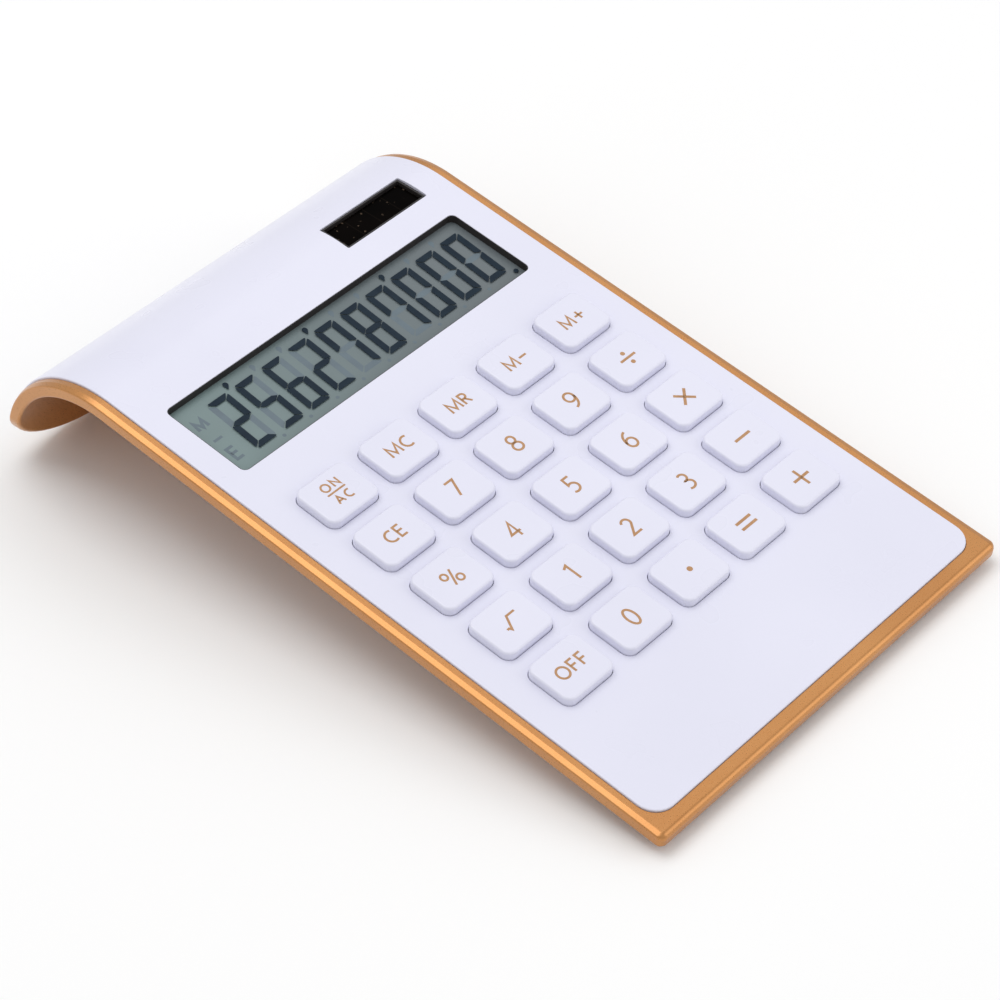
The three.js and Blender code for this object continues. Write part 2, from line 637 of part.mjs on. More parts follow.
function buildCalculator() {
  const face = new THREE.Group();
  const keyCentres = KEY_NAMES.flatMap((names, row) => names.map((name, column) => keyCentre(column, row)));

  addMesh(face, "top_cover", makeCover(keyCentres), "white");
  addMesh(face, "curved_shell", makeShell(), "gold");
  addMesh(face, "bottom_cover", makeBottomCover(), "gold");
  addMesh(face, "battery_door", makeBatteryDoor(), "gold");

  const key = makeKey();
  KEY_NAMES.flat().forEach((name, index) => {
    const [x, y] = keyCentres[index];
    addMesh(face, `key_${name}`, key, "white").position.set(x, y, 0);
  });
  addMesh(face, "keypad_mat", makeMat(keyCentres), "silicone");
  addMesh(face, "circuit_board", makeBoard(), "board");
  addMesh(face, "processor_dome", makeEpoxyDome(), "epoxy");
  const underBoard = BOARD_TOP - BOARD_THICKNESS - PART_GAP;
  const { width, length, height, x: capacitorX, y: capacitorY } = CAPACITOR;
  const capacitor = block(width, length, underBoard - height, underBoard, capacitorX, capacitorY);
  addMesh(face, "capacitor", capacitor, "ceramic");

  addMesh(face, "display_bezel", makeDisplayBezel(), "black");
  addMesh(face, "display_glass", makeDisplayGlass(), "glass");
  const ribbon = block(RIBBON.width, RIBBON.length, RIBBON.bottom, RIBBON.top, 0, RIBBON.y);
  addMesh(face, "display_ribbon", ribbon, "film");
  addMesh(face, "solar_holder", makeSolarHolder(), "black");
  addMesh(face, "solar_cell", makeSolarCell(), "cell");
  addMesh(face, "solar_wire_positive", makeSolarWire(1), "wireRed");
  addMesh(face, "solar_wire_negative", makeSolarWire(-1), "wireBlack");

  addMesh(face, "battery", makeBattery(), "steel");
  addMesh(face, "battery_contact_negative", makeNegativeContact(), "steel");
  addMesh(face, "battery_contact_positive", makePositiveContact(), "steel");

  const caseScrew = makeScrew(1.8, 0.9, PILOT_RADIUS - 0.1, 5.6, TRAY_FLOOR - 0.35);
  addCopies(face, "case_screw", caseScrew, "steel", CASE_SCREWS);
  const boardScrew = makeScrew(1.3, 0.7, POST_PILOT_RADIUS - 0.1, 3.2, underBoard - 0.7);
  addCopies(face, "board_screw", boardScrew, "steel", BOARD_SCREWS);

  addMesh(face, "front_foot_left", makeFrontFoot(-1), "rubber");
  addMesh(face, "front_foot_right", makeFrontFoot(1), "rubber");
  addMesh(face, "rear_pad_left", padBlock(-1, 0, 0, PAD_HEIGHT), "rubber");
  addMesh(face, "rear_pad_right", padBlock(1, 0, 0, PAD_HEIGHT), "rubber");
  return face;
}

const face = buildCalculator();
face.quaternion.setFromAxisAngle(new THREE.Vector3(1, 0, 0), TILT);
face.position.z = DESK_DROP;

// The desk frame's origin goes to the middle of the footprint.
const calculator = new THREE.Group();
calculator.add(face);
calculator.updateMatrixWorld(true);
const bounds = new THREE.Box3().setFromObject(calculator, true);
face.position.y -= (bounds.min.y + bounds.max.y) / 2;

export default calculator;
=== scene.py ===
"""Looks of the curled desk calculator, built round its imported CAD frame.

Lengths are in millimetres until place() turns them into metres in the shared frame, +Z up.
The face frame has x to the right, v up the white key face and w out of it; v = 0 is the
front edge of the back row of keys. s is v on the flat face and goes on as the distance
round the curl, and depth is measured inwards from the white face.
"""

import json
import math

import bpy
from mathutils import Matrix, Vector
from mathutils.geometry import delaunay_2d_cdt


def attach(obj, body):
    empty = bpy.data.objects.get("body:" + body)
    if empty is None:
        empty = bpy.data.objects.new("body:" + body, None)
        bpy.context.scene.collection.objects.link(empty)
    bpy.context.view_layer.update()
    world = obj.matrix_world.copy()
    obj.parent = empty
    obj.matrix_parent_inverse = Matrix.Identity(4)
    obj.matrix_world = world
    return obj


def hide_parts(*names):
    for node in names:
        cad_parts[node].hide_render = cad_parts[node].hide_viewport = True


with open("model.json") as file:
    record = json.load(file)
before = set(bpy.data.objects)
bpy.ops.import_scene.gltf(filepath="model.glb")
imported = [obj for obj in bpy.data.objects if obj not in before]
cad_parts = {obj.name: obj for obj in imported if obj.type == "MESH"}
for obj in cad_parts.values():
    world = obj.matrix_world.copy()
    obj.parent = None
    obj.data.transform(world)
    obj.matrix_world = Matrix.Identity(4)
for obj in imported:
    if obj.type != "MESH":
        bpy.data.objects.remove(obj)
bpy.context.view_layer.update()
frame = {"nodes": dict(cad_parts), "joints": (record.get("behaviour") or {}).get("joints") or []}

# ---- dimensions shared with the CAD source ----
BODY_WIDTH = 108.5
BODY_FRONT = -97.2
BODY_CORNER = 1.6
CURL_START = 58.0
CURL_RADIUS = 30.0
LEG_CLEARANCE = 0.7
LEG_CORNER_WIDTH = 26.0
LEG_CORNER_HEIGHT = 12.5
RIM_DEPTH = 0.45
RIM_WIDTH = 2.7
FRONT_RIM_WIDTH = 3.8
SHELL_DEPTH = 3.75
COVER_THICKNESS = 1.1
COVER_CORNER = 5.0
SEAM = 0.3
KEY_FIELD_X = 0.25
KEY_PITCH_X = 18.3
KEY_PITCH_Y = 16.0
KEY_WIDTH = 14.3
KEY_LENGTH = 12.1
KEY_CORNER = 2.2
KEY_TOP = 2.0
KEY_FLANGE = 0.5
KEY_FLANGE_TOP = -1.4
KEY_BOTTOM = -2.2
KEY_WALL = 1.2
KEY_ROOF = 1.4
DISPLAY_WIDTH = 89.0
DISPLAY_LENGTH = 23.8
DISPLAY_X = -0.5
DISPLAY_CENTRE = 36.15
DISPLAY_CORNER = 1.5
GLASS_WIDTH = 91.6
GLASS_LENGTH = 28.8
GLASS_CORNER = 0.6
GLASS_BOTTOM = -4.05
SOLAR_WIDTH = 25.3
SOLAR_LENGTH = 9.15
SOLAR_X = 31.55
SOLAR_ARC = 2.53
OPENING_HALF_WIDTH = 46.2
OPENING_FRONT = -73.7
OPENING_BACK = 53.7
TRAY_CORNER = 4.0

KEY_NAMES = [
    ["on_ac", "mc", "mr", "m_minus", "m_plus"],
    ["ce", "7", "8", "9", "divide"],
    ["percent", "4", "5", "6", "multiply"],
    ["square_root", "1", "2", "3", "minus"],
    ["off", "0", "decimal", "equals", "plus"],
]
MM = 0.001

# ---- the face frame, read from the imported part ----
PRESS = next(j for j in frame["joints"] if j["name"] == "press_5")
TILT = math.atan2(PRESS["axis"][1], -PRESS["axis"][2])
CURL_ANGLE = math.pi / 2 + TILT


def tilted(point):
    """A point of the shared frame in millimetres, turned as the face frame is but not yet moved."""
    v = point[1] * math.cos(TILT) + point[2] * math.sin(TILT)
    w = -point[1] * math.sin(TILT) + point[2] * math.cos(TILT)
    return point[0] / MM, v / MM, w / MM


COVER_POINTS = [tilted(v.co) for v in frame["nodes"]["top_cover"].data.vertices]
FACE_V = min(p[1] for p in COVER_POINTS) - (BODY_FRONT + FRONT_RIM_WIDTH + SEAM)
FACE_W = max(p[2] for p in COVER_POINTS)


def turned(x, v, w):
    """A direction in the face frame, turned into the shared frame."""
    return Vector((x, v * math.cos(TILT) - w * math.sin(TILT), v * math.sin(TILT) + w * math.cos(TILT)))


def place(x, v, w):
    """A point in the face frame, in the shared frame in metres."""
    return turned(x, v + FACE_V, w + FACE_W) * MM


# ---- the curl ----
def bend_angle(s):
    """How far round the curl a distance along it is."""
    return min(max(s - CURL_START, 0.0) / CURL_RADIUS, CURL_ANGLE)


def bent(x, s, depth):
    """The point at s along the curled face, some depth under it."""
    angle = bend_angle(s)
    radius = CURL_RADIUS - depth
    v = CURL_START + radius * math.sin(angle)
    w = radius * math.cos(angle) - CURL_RADIUS
    rest = s - CURL_START - CURL_RADIUS * angle
    return place(x, v + rest * math.cos(angle), w - rest * math.sin(angle))


def bent_direction(s, across, along, out):
    """A direction given across, along and out of the curled face at s."""
    angle = bend_angle(s)
    v = along * math.cos(angle) + out * math.sin(angle)
    w = out * math.cos(angle) - along * math.sin(angle)
    return turned(across, v, w).normalized()


CURL_HEIGHT = bent(0, CURL_START + CURL_RADIUS * TILT, CURL_RADIUS)[2] / MM  # the circle's centre


def s_at_height(z, depth):
    """Where, down the back of the curl, the surface at that depth is z above the desk."""
    rise = (z - CURL_HEIGHT) / (CURL_RADIUS - depth)
    if rise < 0:
        return CURL_START + CURL_RADIUS * CURL_ANGLE + CURL_HEIGHT - z
    return CURL_START + CURL_RADIUS * (math.acos(rise) + TILT)


# ---- loops: lists of (x, s, outward x, outward s), counter-clockwise seen from outside ----
LEAST_CORNER = 0.02
LEAST_SPLIT = 0.05  # a row this near a loop's point doesn't split its side
FRONT_STEPS = 8
CURL_STEPS = 30
LEG_STEPS = 14
LAST_ROW_SHARE = 1.6  # rows stop this many steps before the leg's lower edge


def arc_loop(x, y, radius, start, stop, steps):
    """Part of a circle, with its outward directions."""
    points = []
    for step in range(steps + 1):
        angle = math.radians(start + (stop - start) * step / steps)
        dx = math.cos(angle)
        dy = math.sin(angle)
        points.append((x + radius * dx, y + radius * dy, dx, dy))
    return points


def rounded_loop(x, y, width, length, radius, steps, inset=0.0):
    """A rectangle with round corners."""
    corner = max(radius - inset, LEAST_CORNER)
    right = width / 2 - inset - corner
    back = length / 2 - inset - corner
    points = arc_loop(x + right, y - back, corner, -90, 0, steps)
    points += arc_loop(x + right, y + back, corner, 0, 90, steps)
    points += arc_loop(x - right, y + back, corner, 90, 180, steps)
    points += arc_loop(x - right, y - back, corner, 180, 270, steps)
    return points


def cut_at_rows(loop, rows):
    """The same loop, with a point wherever a side crosses one of the rows of the curl's grid."""
    points = []
    for index, point in enumerate(loop):
        following = loop[(index + 1) % len(loop)]
        points.append(point)
        low = min(point[1], following[1])
        high = max(point[1], following[1])
        crossed = [s for s in rows if low + LEAST_SPLIT < s < high - LEAST_SPLIT]
        if following[1] < point[1]:
            crossed.reverse()
        for s in crossed:
            share = (s - point[1]) / (following[1] - point[1])
            points.append(tuple(a + (b - a) * share for a, b in zip(point, following)))
    return points


def body_loop(depth, inset, corner, front_inset=None):
    """The outline of the curled body at a depth, drawn in by an inset."""
    side = BODY_WIDTH / 2 - inset
    front = BODY_FRONT + (inset if front_inset is None else front_inset)
    bottom = LEG_CLEARANCE + inset
    across = LEG_CORNER_WIDTH - inset
    up = LEG_CORNER_HEIGHT
    right = arc_loop(side - corner, front + corner, corner, -90, 0, FRONT_STEPS)
    last = s_at_height(bottom + up, depth)
    for step in range(CURL_STEPS):
        right.append((side, CURL_START + (last - CURL_START) * step / CURL_STEPS, 1.0, 0.0))
    for step in range(LEG_STEPS + 1):
        angle = math.pi / 2 * step / LEG_STEPS
        x = side - across + across * math.cos(angle)
        z = bottom + up - up * math.sin(angle)
        slope = Vector((math.cos(angle) / across, math.sin(angle) / up)).normalized()
        right.append((x, s_at_height(z, depth), slope[0], slope[1]))
    left = [(-x, s, -dx, ds) for x, s, dx, ds in reversed(right)]
    return right + left


def curl_rows(depth, inset):
    """Values of s for the rows of grid points that hold the curl's shape."""
    side_end = s_at_height(LEG_CLEARANCE + inset + LEG_CORNER_HEIGHT, depth)
    step = (side_end - CURL_START) / CURL_STEPS
    bottom = s_at_height(LEG_CLEARANCE + inset, depth)
    rows = [CURL_START + step * k for k in range(CURL_STEPS + 1)]
    while rows[-1] + LAST_ROW_SHARE * step < bottom:
        rows.append(rows[-1] + step)
    return rows


# ---- mesh building ----
FILL_COLUMNS = [-48 + 6 * k for k in range(17)]
GRID_MARGIN = 0.7  # the least gap between a fill's grid points and its loops
EDGE_MARGIN = 0.02
SAME_ROW = 1e-4
SAME_POINT = 1e-7


def inside(x, y, loop):
    """True if a point lies in a loop."""
    found = False
    for a, b in zip(loop, loop[1:] + loop[:1]):
        if (a[1] > y) != (b[1] > y) and x < (b[0] - a[0]) * (y - a[1]) / (b[1] - a[1]) + a[0]:
            found = not found
    return found


def gap_to(x, y, loop):
    """The least distance from a point to a loop's sides."""
    least = 1e9
    for a, b in zip(loop, loop[1:] + loop[:1]):
        side = Vector((b[0] - a[0], b[1] - a[1]))
        away = Vector((x - a[0], y - a[1]))
        share = min(max(away.dot(side) / max(side.length_squared, 1e-12), 0.0), 1.0)
        least = min(least, (away - side * share).length)
    return least


class Build:
    """A mesh with one normal for every corner of every face."""

    def __init__(self):
        self.points = []
        self.faces = []
        self.normals = []

    def loop(self, points):
        """Adds points and returns their numbers."""
        first = len(self.points)
        self.points.extend(points)
        return list(range(first, len(self.points)))

    def face(self, corners, normals):
        self.faces.append(corners)
        self.normals.extend(normals)

    def strip(self, low, high, low_normals, high_normals):
        """Quads between two closed loops of equal length; from outside, low runs counter-clockwise."""
        count = len(low)
        for i in range(count):
            j = (i + 1) % count
            self.face(
                [low[i], low[j], high[j], high[i]],
                [low_normals[i], low_normals[j], high_normals[j], high_normals[i]],
            )

    def flat(self, numbers, normal):
        corners = list(numbers)
        self.face(corners, [normal] * len(corners))

    def object(self, name, material, body, slot, replaces=()):
        """The finished piece, riding on a body."""
        mesh = bpy.data.meshes.new(name)
        mesh.from_pydata([tuple(p) for p in self.points], [], self.faces)
        mesh.polygons.foreach_set("use_smooth", [True] * len(mesh.polygons))
        mesh.normals_split_custom_set([tuple(n) for n in self.normals])
        piece = bpy.data.objects.new(name, mesh)
        bpy.context.scene.collection.objects.link(piece)
        mesh.materials.append(material)
        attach(piece, body)
        if replaces:
            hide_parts(*replaces)
        return piece


class Curled(Build):
    """A mesh on the curled face, drawn in (x, s) at a depth."""

    def ring(self, loop, depth):
        """Adds a loop at a depth."""
        return self.loop([bent(x, s, depth) for x, s, dx, ds in loop])

    @staticmethod
    def leaning(loop, out, sideways):
        """The loop's normals, leaning outwards by sideways and up by out."""
        return [bent_direction(s, dx * sideways, ds * sideways, out) for x, s, dx, ds in loop]

    def sweep(self, profile, closed=False):
        """Strips from each ring of a profile to the next. Returns the rings' numbers.

        Each step is (loop, height, (out, sideways) of the strip that starts there)."""
        rings = [self.ring(loop, -height) for loop, height, lean in profile]
        for i in range(len(profile) if closed else len(profile) - 1):
            j = (i + 1) % len(profile)
            loop, height, lean = profile[i]
            self.strip(rings[i], rings[j], self.leaning(loop, *lean), self.leaning(profile[j][0], *lean))
        return rings

    def drop(self, loop, top, bottom):
        """The straight wall of a hole, from its upper to its lower ring. Returns both rings' numbers."""
        upper = self.ring(loop, top)
        lower = self.ring(loop, bottom)
        inward = self.leaning(loop, 0, -1)
        self.strip(upper, lower, inward, inward)
        return upper, lower

    def fill(self, depth, outer, outer_numbers, holes, rows, facing):
        """Fills between an outer loop and holes, with grid points along the curl's rows."""
        loops = [(outer, outer_numbers)] + holes
        flat = []
        numbers = []
        edges = []
        for loop, indices in loops:
            first = len(flat)
            flat.extend((p[0], p[1]) for p in loop)
            numbers.extend(indices)
            edges.extend((first + i, first + (i + 1) % len(loop)) for i in range(len(loop)))
        for s in rows:
            row = [(x, s) for x in FILL_COLUMNS if self.is_free(x, s, outer, holes)]
            line = list(range(len(flat), len(flat) + len(row)))
            flat.extend(row)
            numbers.extend(self.loop([bent(x, y, depth) for x, y in row]))
            on_loops = [i for i in range(len(flat) - len(row)) if abs(flat[i][1] - s) < SAME_ROW]
            line = sorted(set(line + on_loops), key=lambda i: flat[i][0])
            for a, b in zip(line, line[1:]):
                middle = (flat[a][0] + flat[b][0]) / 2
                clear = inside(middle, s, outer) and not any(inside(middle, s, h) for h, _ in holes)
                if clear and gap_to(middle, s, outer) > EDGE_MARGIN:
                    edges.append((a, b))
        made = delaunay_2d_cdt([Vector(p) for p in flat], edges, [], 0, SAME_POINT)
        if len(made[0]) != len(flat):
            raise ValueError("the outlines cross one another")
        for corners in made[2]:
            x = sum(made[0][c][0] for c in corners) / 3
            y = sum(made[0][c][1] for c in corners) / 3
            if not inside(x, y, outer) or any(inside(x, y, h) for h, _ in holes):
                continue
            corners = list(corners) if facing > 0 else list(reversed(corners))
            normals = [bent_direction(flat[c][1], 0, 0, facing) for c in corners]
            self.face([numbers[c] for c in corners], normals)

    @staticmethod
    def is_free(x, s, outer, holes):
        """True if a grid point is in the sheet and not too near an edge of it."""
        if not inside(x, s, outer) or gap_to(x, s, outer) < GRID_MARGIN:
            return False
        return all(not inside(x, s, h) and gap_to(x, s, h) > GRID_MARGIN for h, _ in holes)


def rounding(steps):
    """(inset share, depth share, out, sideways) round a quarter circle, from the face to the side."""
    shares = []
    for step in range(steps + 1):
        angle = math.pi / 2 * step / steps
        shares.append((1 - math.sin(angle), 1 - math.cos(angle), math.cos(angle), math.sin(angle)))
    return shares


# ---- materials ----
def new_material(name, colour, roughness, metallic=0.0):
    """A material with a Principled shader. Returns it with its node tree and shader."""
    material = bpy.data.materials.new(name)
    material.use_nodes = True
    tree = material.node_tree
    shader = tree.nodes["Principled BSDF"]
    shader.inputs["Base Color"].default_value = (*colour, 1)
    shader.inputs["Roughness"].default_value = roughness
    shader.inputs["Metallic"].default_value = metallic
    return material, tree, shader


def object_coordinates(tree, stretch=(1, 1, 1)):
    coordinates = tree.nodes.new("ShaderNodeTexCoord")
    mapping = tree.nodes.new("ShaderNodeMapping")
    mapping.inputs["Scale"].default_value = stretch
    tree.links.new(coordinates.outputs["Object"], mapping.inputs["Vector"])
    return mapping.outputs["Vector"]


def across_coordinate(tree):
    """How far to the right a point is, in metres."""
    parts = tree.nodes.new("ShaderNodeSeparateXYZ")
    tree.links.new(object_coordinates(tree), parts.inputs["Vector"])
    return parts.outputs["X"]


def calculated(tree, operation, value, constant):
    """A value put through a sum with a constant."""
    node = tree.nodes.new("ShaderNodeMath")
    node.operation = operation
    node.inputs[1].default_value = constant
    tree.links.new(value, node.inputs[0])
    return node.outputs["Value"]


def noise(tree, scale, detail=2.0, stretch=(1, 1, 1)):
    """A noise of so many waves to the metre."""
    node = tree.nodes.new("ShaderNodeTexNoise")
    node.inputs["Scale"].default_value = scale
    node.inputs["Detail"].default_value = detail
    tree.links.new(object_coordinates(tree, stretch), node.inputs["Vector"])
    return node.outputs["Fac"]


def flakes(tree, scale):
    """A random grey for each cell of a fine mosaic."""
    node = tree.nodes.new("ShaderNodeTexVoronoi")
    node.inputs["Scale"].default_value = scale
    tree.links.new(object_coordinates(tree), node.inputs["Vector"])
    grey = tree.nodes.new("ShaderNodeSeparateColor")
    tree.links.new(node.outputs["Color"], grey.inputs["Color"])
    return grey.outputs["Red"]


def ramp(tree, value, stops):
    """Colours along a value, from a list of (position, colour)."""
    node = tree.nodes.new("ShaderNodeValToRGB")
    elements = node.color_ramp.elements
    while len(elements) < len(stops):
        elements.new(0.5)
    for element, (position, colour) in zip(elements, stops):
        element.position = position
        element.color = (*colour, 1)
    tree.links.new(value, node.inputs["Fac"])
    return node.outputs["Color"]


def spread(tree, value, low, high, start=0.3, stop=0.7):
    """A value mapped to a range."""
    node = tree.nodes.new("ShaderNodeMapRange")
    node.inputs["From Min"].default_value = start
    node.inputs["From Max"].default_value = stop
    node.inputs["To Min"].default_value = low
    node.inputs["To Max"].default_value = high
    tree.links.new(value, node.inputs["Value"])
    return node.outputs["Result"]


def blended(tree, share, first, second):
    """Two colours mixed by a share."""
    node = tree.nodes.new("ShaderNodeMix")
    node.data_type = "RGBA"
    tree.links.new(share, node.inputs["Factor"])
    for socket, colour in ((node.inputs["A"], first), (node.inputs["B"], second)):
        if isinstance(colour, tuple):
            socket.default_value = (*colour, 1)
        else:
            tree.links.new(colour, socket)
    return node.outputs["Result"]


def bump(tree, shader, height, strength, distance):
    node = tree.nodes.new("ShaderNodeBump")
    node.inputs["Strength"].default_value = strength
    node.inputs["Distance"].default_value = distance
    tree.links.new(height, node.inputs["Height"])
    tree.links.new(node.outputs["Normal"], shader.inputs["Normal"])


def finish(name, low, high, scale, roughness, grain=3000, strength=0.05):
    """A moulded or painted finish: its colour wanders between two, and so does its roughness."""
    material, tree, shader = new_material(name, low, roughness)
    colour = ramp(tree, noise(tree, scale, 3.0), [(0.35, low), (0.65, high)])
    tree.links.new(colour, shader.inputs["Base Color"])
    rough = spread(tree, noise(tree, scale * 4), roughness * 0.88, roughness * 1.12)
    tree.links.new(rough, shader.inputs["Roughness"])
    bump(tree, shader, noise(tree, grain, 2.0), strength, 0.00003)
    return material, tree, shader


def make_white():
    """Glossy white moulded plastic with a cool tint."""
    low = (0.755, 0.755, 0.88)
    high = (0.78, 0.78, 0.905)
    material, tree, shader = finish("white_gloss", low, high, 22, 0.30, 4200, 0.04)
    shader.inputs["Specular IOR Level"].default_value = 0.45
    shader.inputs["Coat Weight"].default_value = 0.15
    shader.inputs["Coat Roughness"].default_value = 0.12
    return material


def make_gold():
    """Satin gold lacquer with fine metal flakes."""
    material, tree, shader = new_material("gold_lacquer", (0.62, 0.34, 0.14), 0.36, 0.75)
    flake = flakes(tree, 9000)
    deep = ramp(tree, noise(tree, 40, 3.0), [(0.35, (0.495, 0.20, 0.050)), (0.65, (0.545, 0.235, 0.065))])
    colour = blended(tree, spread(tree, flake, 0.0, 0.28, 0.0, 1.0), deep, (0.74, 0.42, 0.17))
    tree.links.new(colour, shader.inputs["Base Color"])
    tree.links.new(spread(tree, flake, 0.27, 0.38, 0.0, 1.0), shader.inputs["Roughness"])
    bump(tree, shader, flake, 0.06, 0.00002)
    shader.inputs["Coat Weight"].default_value = 0.4
    shader.inputs["Coat Roughness"].default_value = 0.28
    return material


def make_steel():
    """Brushed steel."""
    low = (0.52, 0.53, 0.55)
    high = (0.64, 0.65, 0.67)
    material, tree, shader = new_material("steel", low, 0.3, 0.95)
    lines = noise(tree, 500, 2.0, (1, 6, 1))
    tree.links.new(ramp(tree, lines, [(0.3, low), (0.7, high)]), shader.inputs["Base Color"])
    tree.links.new(spread(tree, lines, 0.24, 0.38), shader.inputs["Roughness"])
    bump(tree, shader, lines, 0.08, 0.00002)
    return material


def make_board():
    """Green solder mask over fine tracks."""
    material, tree, shader = new_material("circuit_board", (0.02, 0.12, 0.04), 0.4)
    tracks = tree.nodes.new("ShaderNodeTexBrick")
    tracks.inputs["Scale"].default_value = 60
    tracks.inputs["Mortar Size"].default_value = 0.012
    tracks.inputs["Color1"].default_value = (0.02, 0.13, 0.045, 1)
    tracks.inputs["Color2"].default_value = (0.025, 0.15, 0.05, 1)
    tracks.inputs["Mortar"].default_value = (0.06, 0.24, 0.08, 1)
    tree.links.new(object_coordinates(tree), tracks.inputs["Vector"])
    tree.links.new(tracks.outputs["Color"], shader.inputs["Base Color"])
    bump(tree, shader, tracks.outputs["Fac"], 0.2, 0.00003)
    return material


def make_film():
    """Amber ribbon film with copper tracks running front to back."""
    material, tree, shader = new_material("ribbon_film", (0.45, 0.16, 0.03), 0.35)
    waves = tree.nodes.new("ShaderNodeTexWave")
    waves.inputs["Scale"].default_value = 250
    tree.links.new(object_coordinates(tree), waves.inputs["Vector"])
    colour = ramp(tree, waves.outputs["Fac"], [(0.4, (0.42, 0.15, 0.03)), (0.6, (0.62, 0.30, 0.08))])
    tree.links.new(colour, shader.inputs["Base Color"])
    bump(tree, shader, waves.outputs["Fac"], 0.2, 0.00003)
    return material


TINT_REACH = 45.0


def make_reflector():
    """The display's grey-green polariser, lighter and greener on the left and darker towards the right.
    """
    material, tree, shader = new_material("display_polariser", (0.23, 0.28, 0.26), 0.42)
    reach = TINT_REACH * MM
    across = spread(tree, across_coordinate(tree), 0.0, 1.0, -reach, reach)
    stops = [(0.0, (0.19, 0.265, 0.265)), (0.6, (0.135, 0.168, 0.18)), (1.0, (0.136, 0.158, 0.172))]
    tint = ramp(tree, across, stops)
    cloud = spread(tree, noise(tree, 90, 3.0), 0.0, 0.22)
    tree.links.new(blended(tree, cloud, tint, (0.13, 0.165, 0.17)), shader.inputs["Base Color"])
    bump(tree, shader, noise(tree, 9000, 1.0), 0.05, 0.00001)
    return material


CELLS = 4
CELL_MARGIN = 0.9


def make_cell():
    """Amorphous solar glass: near black, with thin lines between its cells and tiny specks."""
    material, tree, shader = new_material("solar_glass", (0.006, 0.004, 0.004), 0.25)
    shader.inputs["Specular IOR Level"].default_value = 0.01
    cell_width = (SOLAR_WIDTH - 2 * CELL_MARGIN) * MM / CELLS
    shifted = calculated(tree, "SUBTRACT", across_coordinate(tree), SOLAR_X * MM)
    to_line = calculated(tree, "PINGPONG", shifted, cell_width / 2)
    lines = spread(tree, to_line, 1.0, 0.0, 0.00003, 0.00009)
    specks = spread(tree, flakes(tree, 2600), 0.0, 1.0, 0.985, 1.0)
    stops = [(0.3, (0.0012, 0.0009, 0.0008)), (0.7, (0.0025, 0.0016, 0.0013))]
    body = ramp(tree, noise(tree, 120, 2.0), stops)
    lined = blended(tree, lines, body, (0.010, 0.007, 0.005))
    tree.links.new(blended(tree, specks, lined, (0.10, 0.07, 0.05)), shader.inputs["Base Color"])
    return material


# name: (darker colour, lighter colour, noise scale, roughness[, grain scale, grain strength])
FINISHES = {
    "legend_ink": ((0.44, 0.225, 0.095), (0.50, 0.27, 0.125), 900, 0.42, 9000, 0.1),
    "display_ink": ((0.010, 0.020, 0.034), (0.014, 0.027, 0.042), 300, 0.5),
    "display_ghost": ((0.115, 0.155, 0.185), (0.125, 0.170, 0.200), 300, 0.5),
    "black_plastic": ((0.016, 0.013, 0.013), (0.022, 0.018, 0.017), 120, 0.5, 5000, 0.2),
    "rubber": ((0.022, 0.022, 0.024), (0.034, 0.034, 0.036), 200, 0.8, 2500, 0.5),
    "silicone": ((0.62, 0.60, 0.56), (0.70, 0.68, 0.64), 60, 0.65, 2500, 0.3),
    "epoxy": ((0.008, 0.008, 0.009), (0.014, 0.014, 0.015), 200, 0.3, 1500, 0.3),
    "ceramic": ((0.36, 0.25, 0.13), (0.44, 0.32, 0.18), 900, 0.5),
    "wire_red": ((0.42, 0.02, 0.02), (0.50, 0.03, 0.03), 400, 0.45),
    "wire_black": ((0.012, 0.012, 0.012), (0.02, 0.02, 0.02), 400, 0.45),
}
# The materials of all slots, and of the printing and the display's segments.
MATERIALS = {
    "white_gloss": make_white(),
    "gold_lacquer": make_gold(),
    "display_glass": make_reflector(),
    "solar_glass": make_cell(),
    "circuit_board": make_board(),
    "ribbon_film": make_film(),
    "steel": make_steel(),
}
for finish_name, values in FINISHES.items():
    MATERIALS[finish_name] = finish(finish_name, *values)[0]
INK_SHADER = MATERIALS["display_ink"].node_tree.nodes["Principled BSDF"]
INK_SHADER.inputs["Specular IOR Level"].default_value = 0.12


# ---- CAD nodes: better materials, and copies with softened edges ----
WELD_REACH = 0.005
FLAT_ANGLE = 1.0
SHARP_ANGLE = 40.0


def dress_nodes():
    """Every CAD node gets the material of its slot."""
    for node in frame["nodes"].values():
        for index, slot in enumerate(node.data.materials):
            name = slot.name.split(".")[0]
            node.data.materials[index] = MATERIALS[name]


def soften(name, body, width, segments=2):
    """A copy of a CAD node with its sharp edges rounded, in the node's place."""
    mesh = frame["nodes"][name].data.copy()
    mesh.polygons.foreach_set("use_smooth", [True] * len(mesh.polygons))
    piece = bpy.data.objects.new("soft_" + name, mesh)
    bpy.context.scene.collection.objects.link(piece)
    weld = piece.modifiers.new("weld", "WELD")
    weld.merge_threshold = WELD_REACH * MM
    merge = piece.modifiers.new("merge", "DECIMATE")
    merge.decimate_type = "DISSOLVE"
    merge.angle_limit = math.radians(FLAT_ANGLE)
    bevel = piece.modifiers.new("bevel", "BEVEL")
    bevel.width = width * MM
    bevel.segments = segments
    bevel.limit_method = "ANGLE"
    bevel.angle_limit = math.radians(SHARP_ANGLE)
    bevel.use_clamp_overlap = True
    normals = piece.modifiers.new("normals", "WEIGHTED_NORMAL")
    normals.keep_sharp = True
    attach(piece, body)
    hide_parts(name)


# ---- the white cover ----
EDGE_STEPS = 4
CORNER_STEPS = 6
SOLAR_CORNER = 0.3
SOLAR_STEPS = 3
COVER_EDGE = 0.3
HOLE_EDGE = 0.12
HOLE_CLEARANCE = 0.13  # the gap round a key that shows
COVER_GAP = 0.06  # the gap round the cover that shows


def key_centre(column, row):
    front_row = -4 * KEY_PITCH_Y + KEY_LENGTH / 2
    return KEY_FIELD_X + (column - 2) * KEY_PITCH_X, front_row + (4 - row) * KEY_PITCH_Y


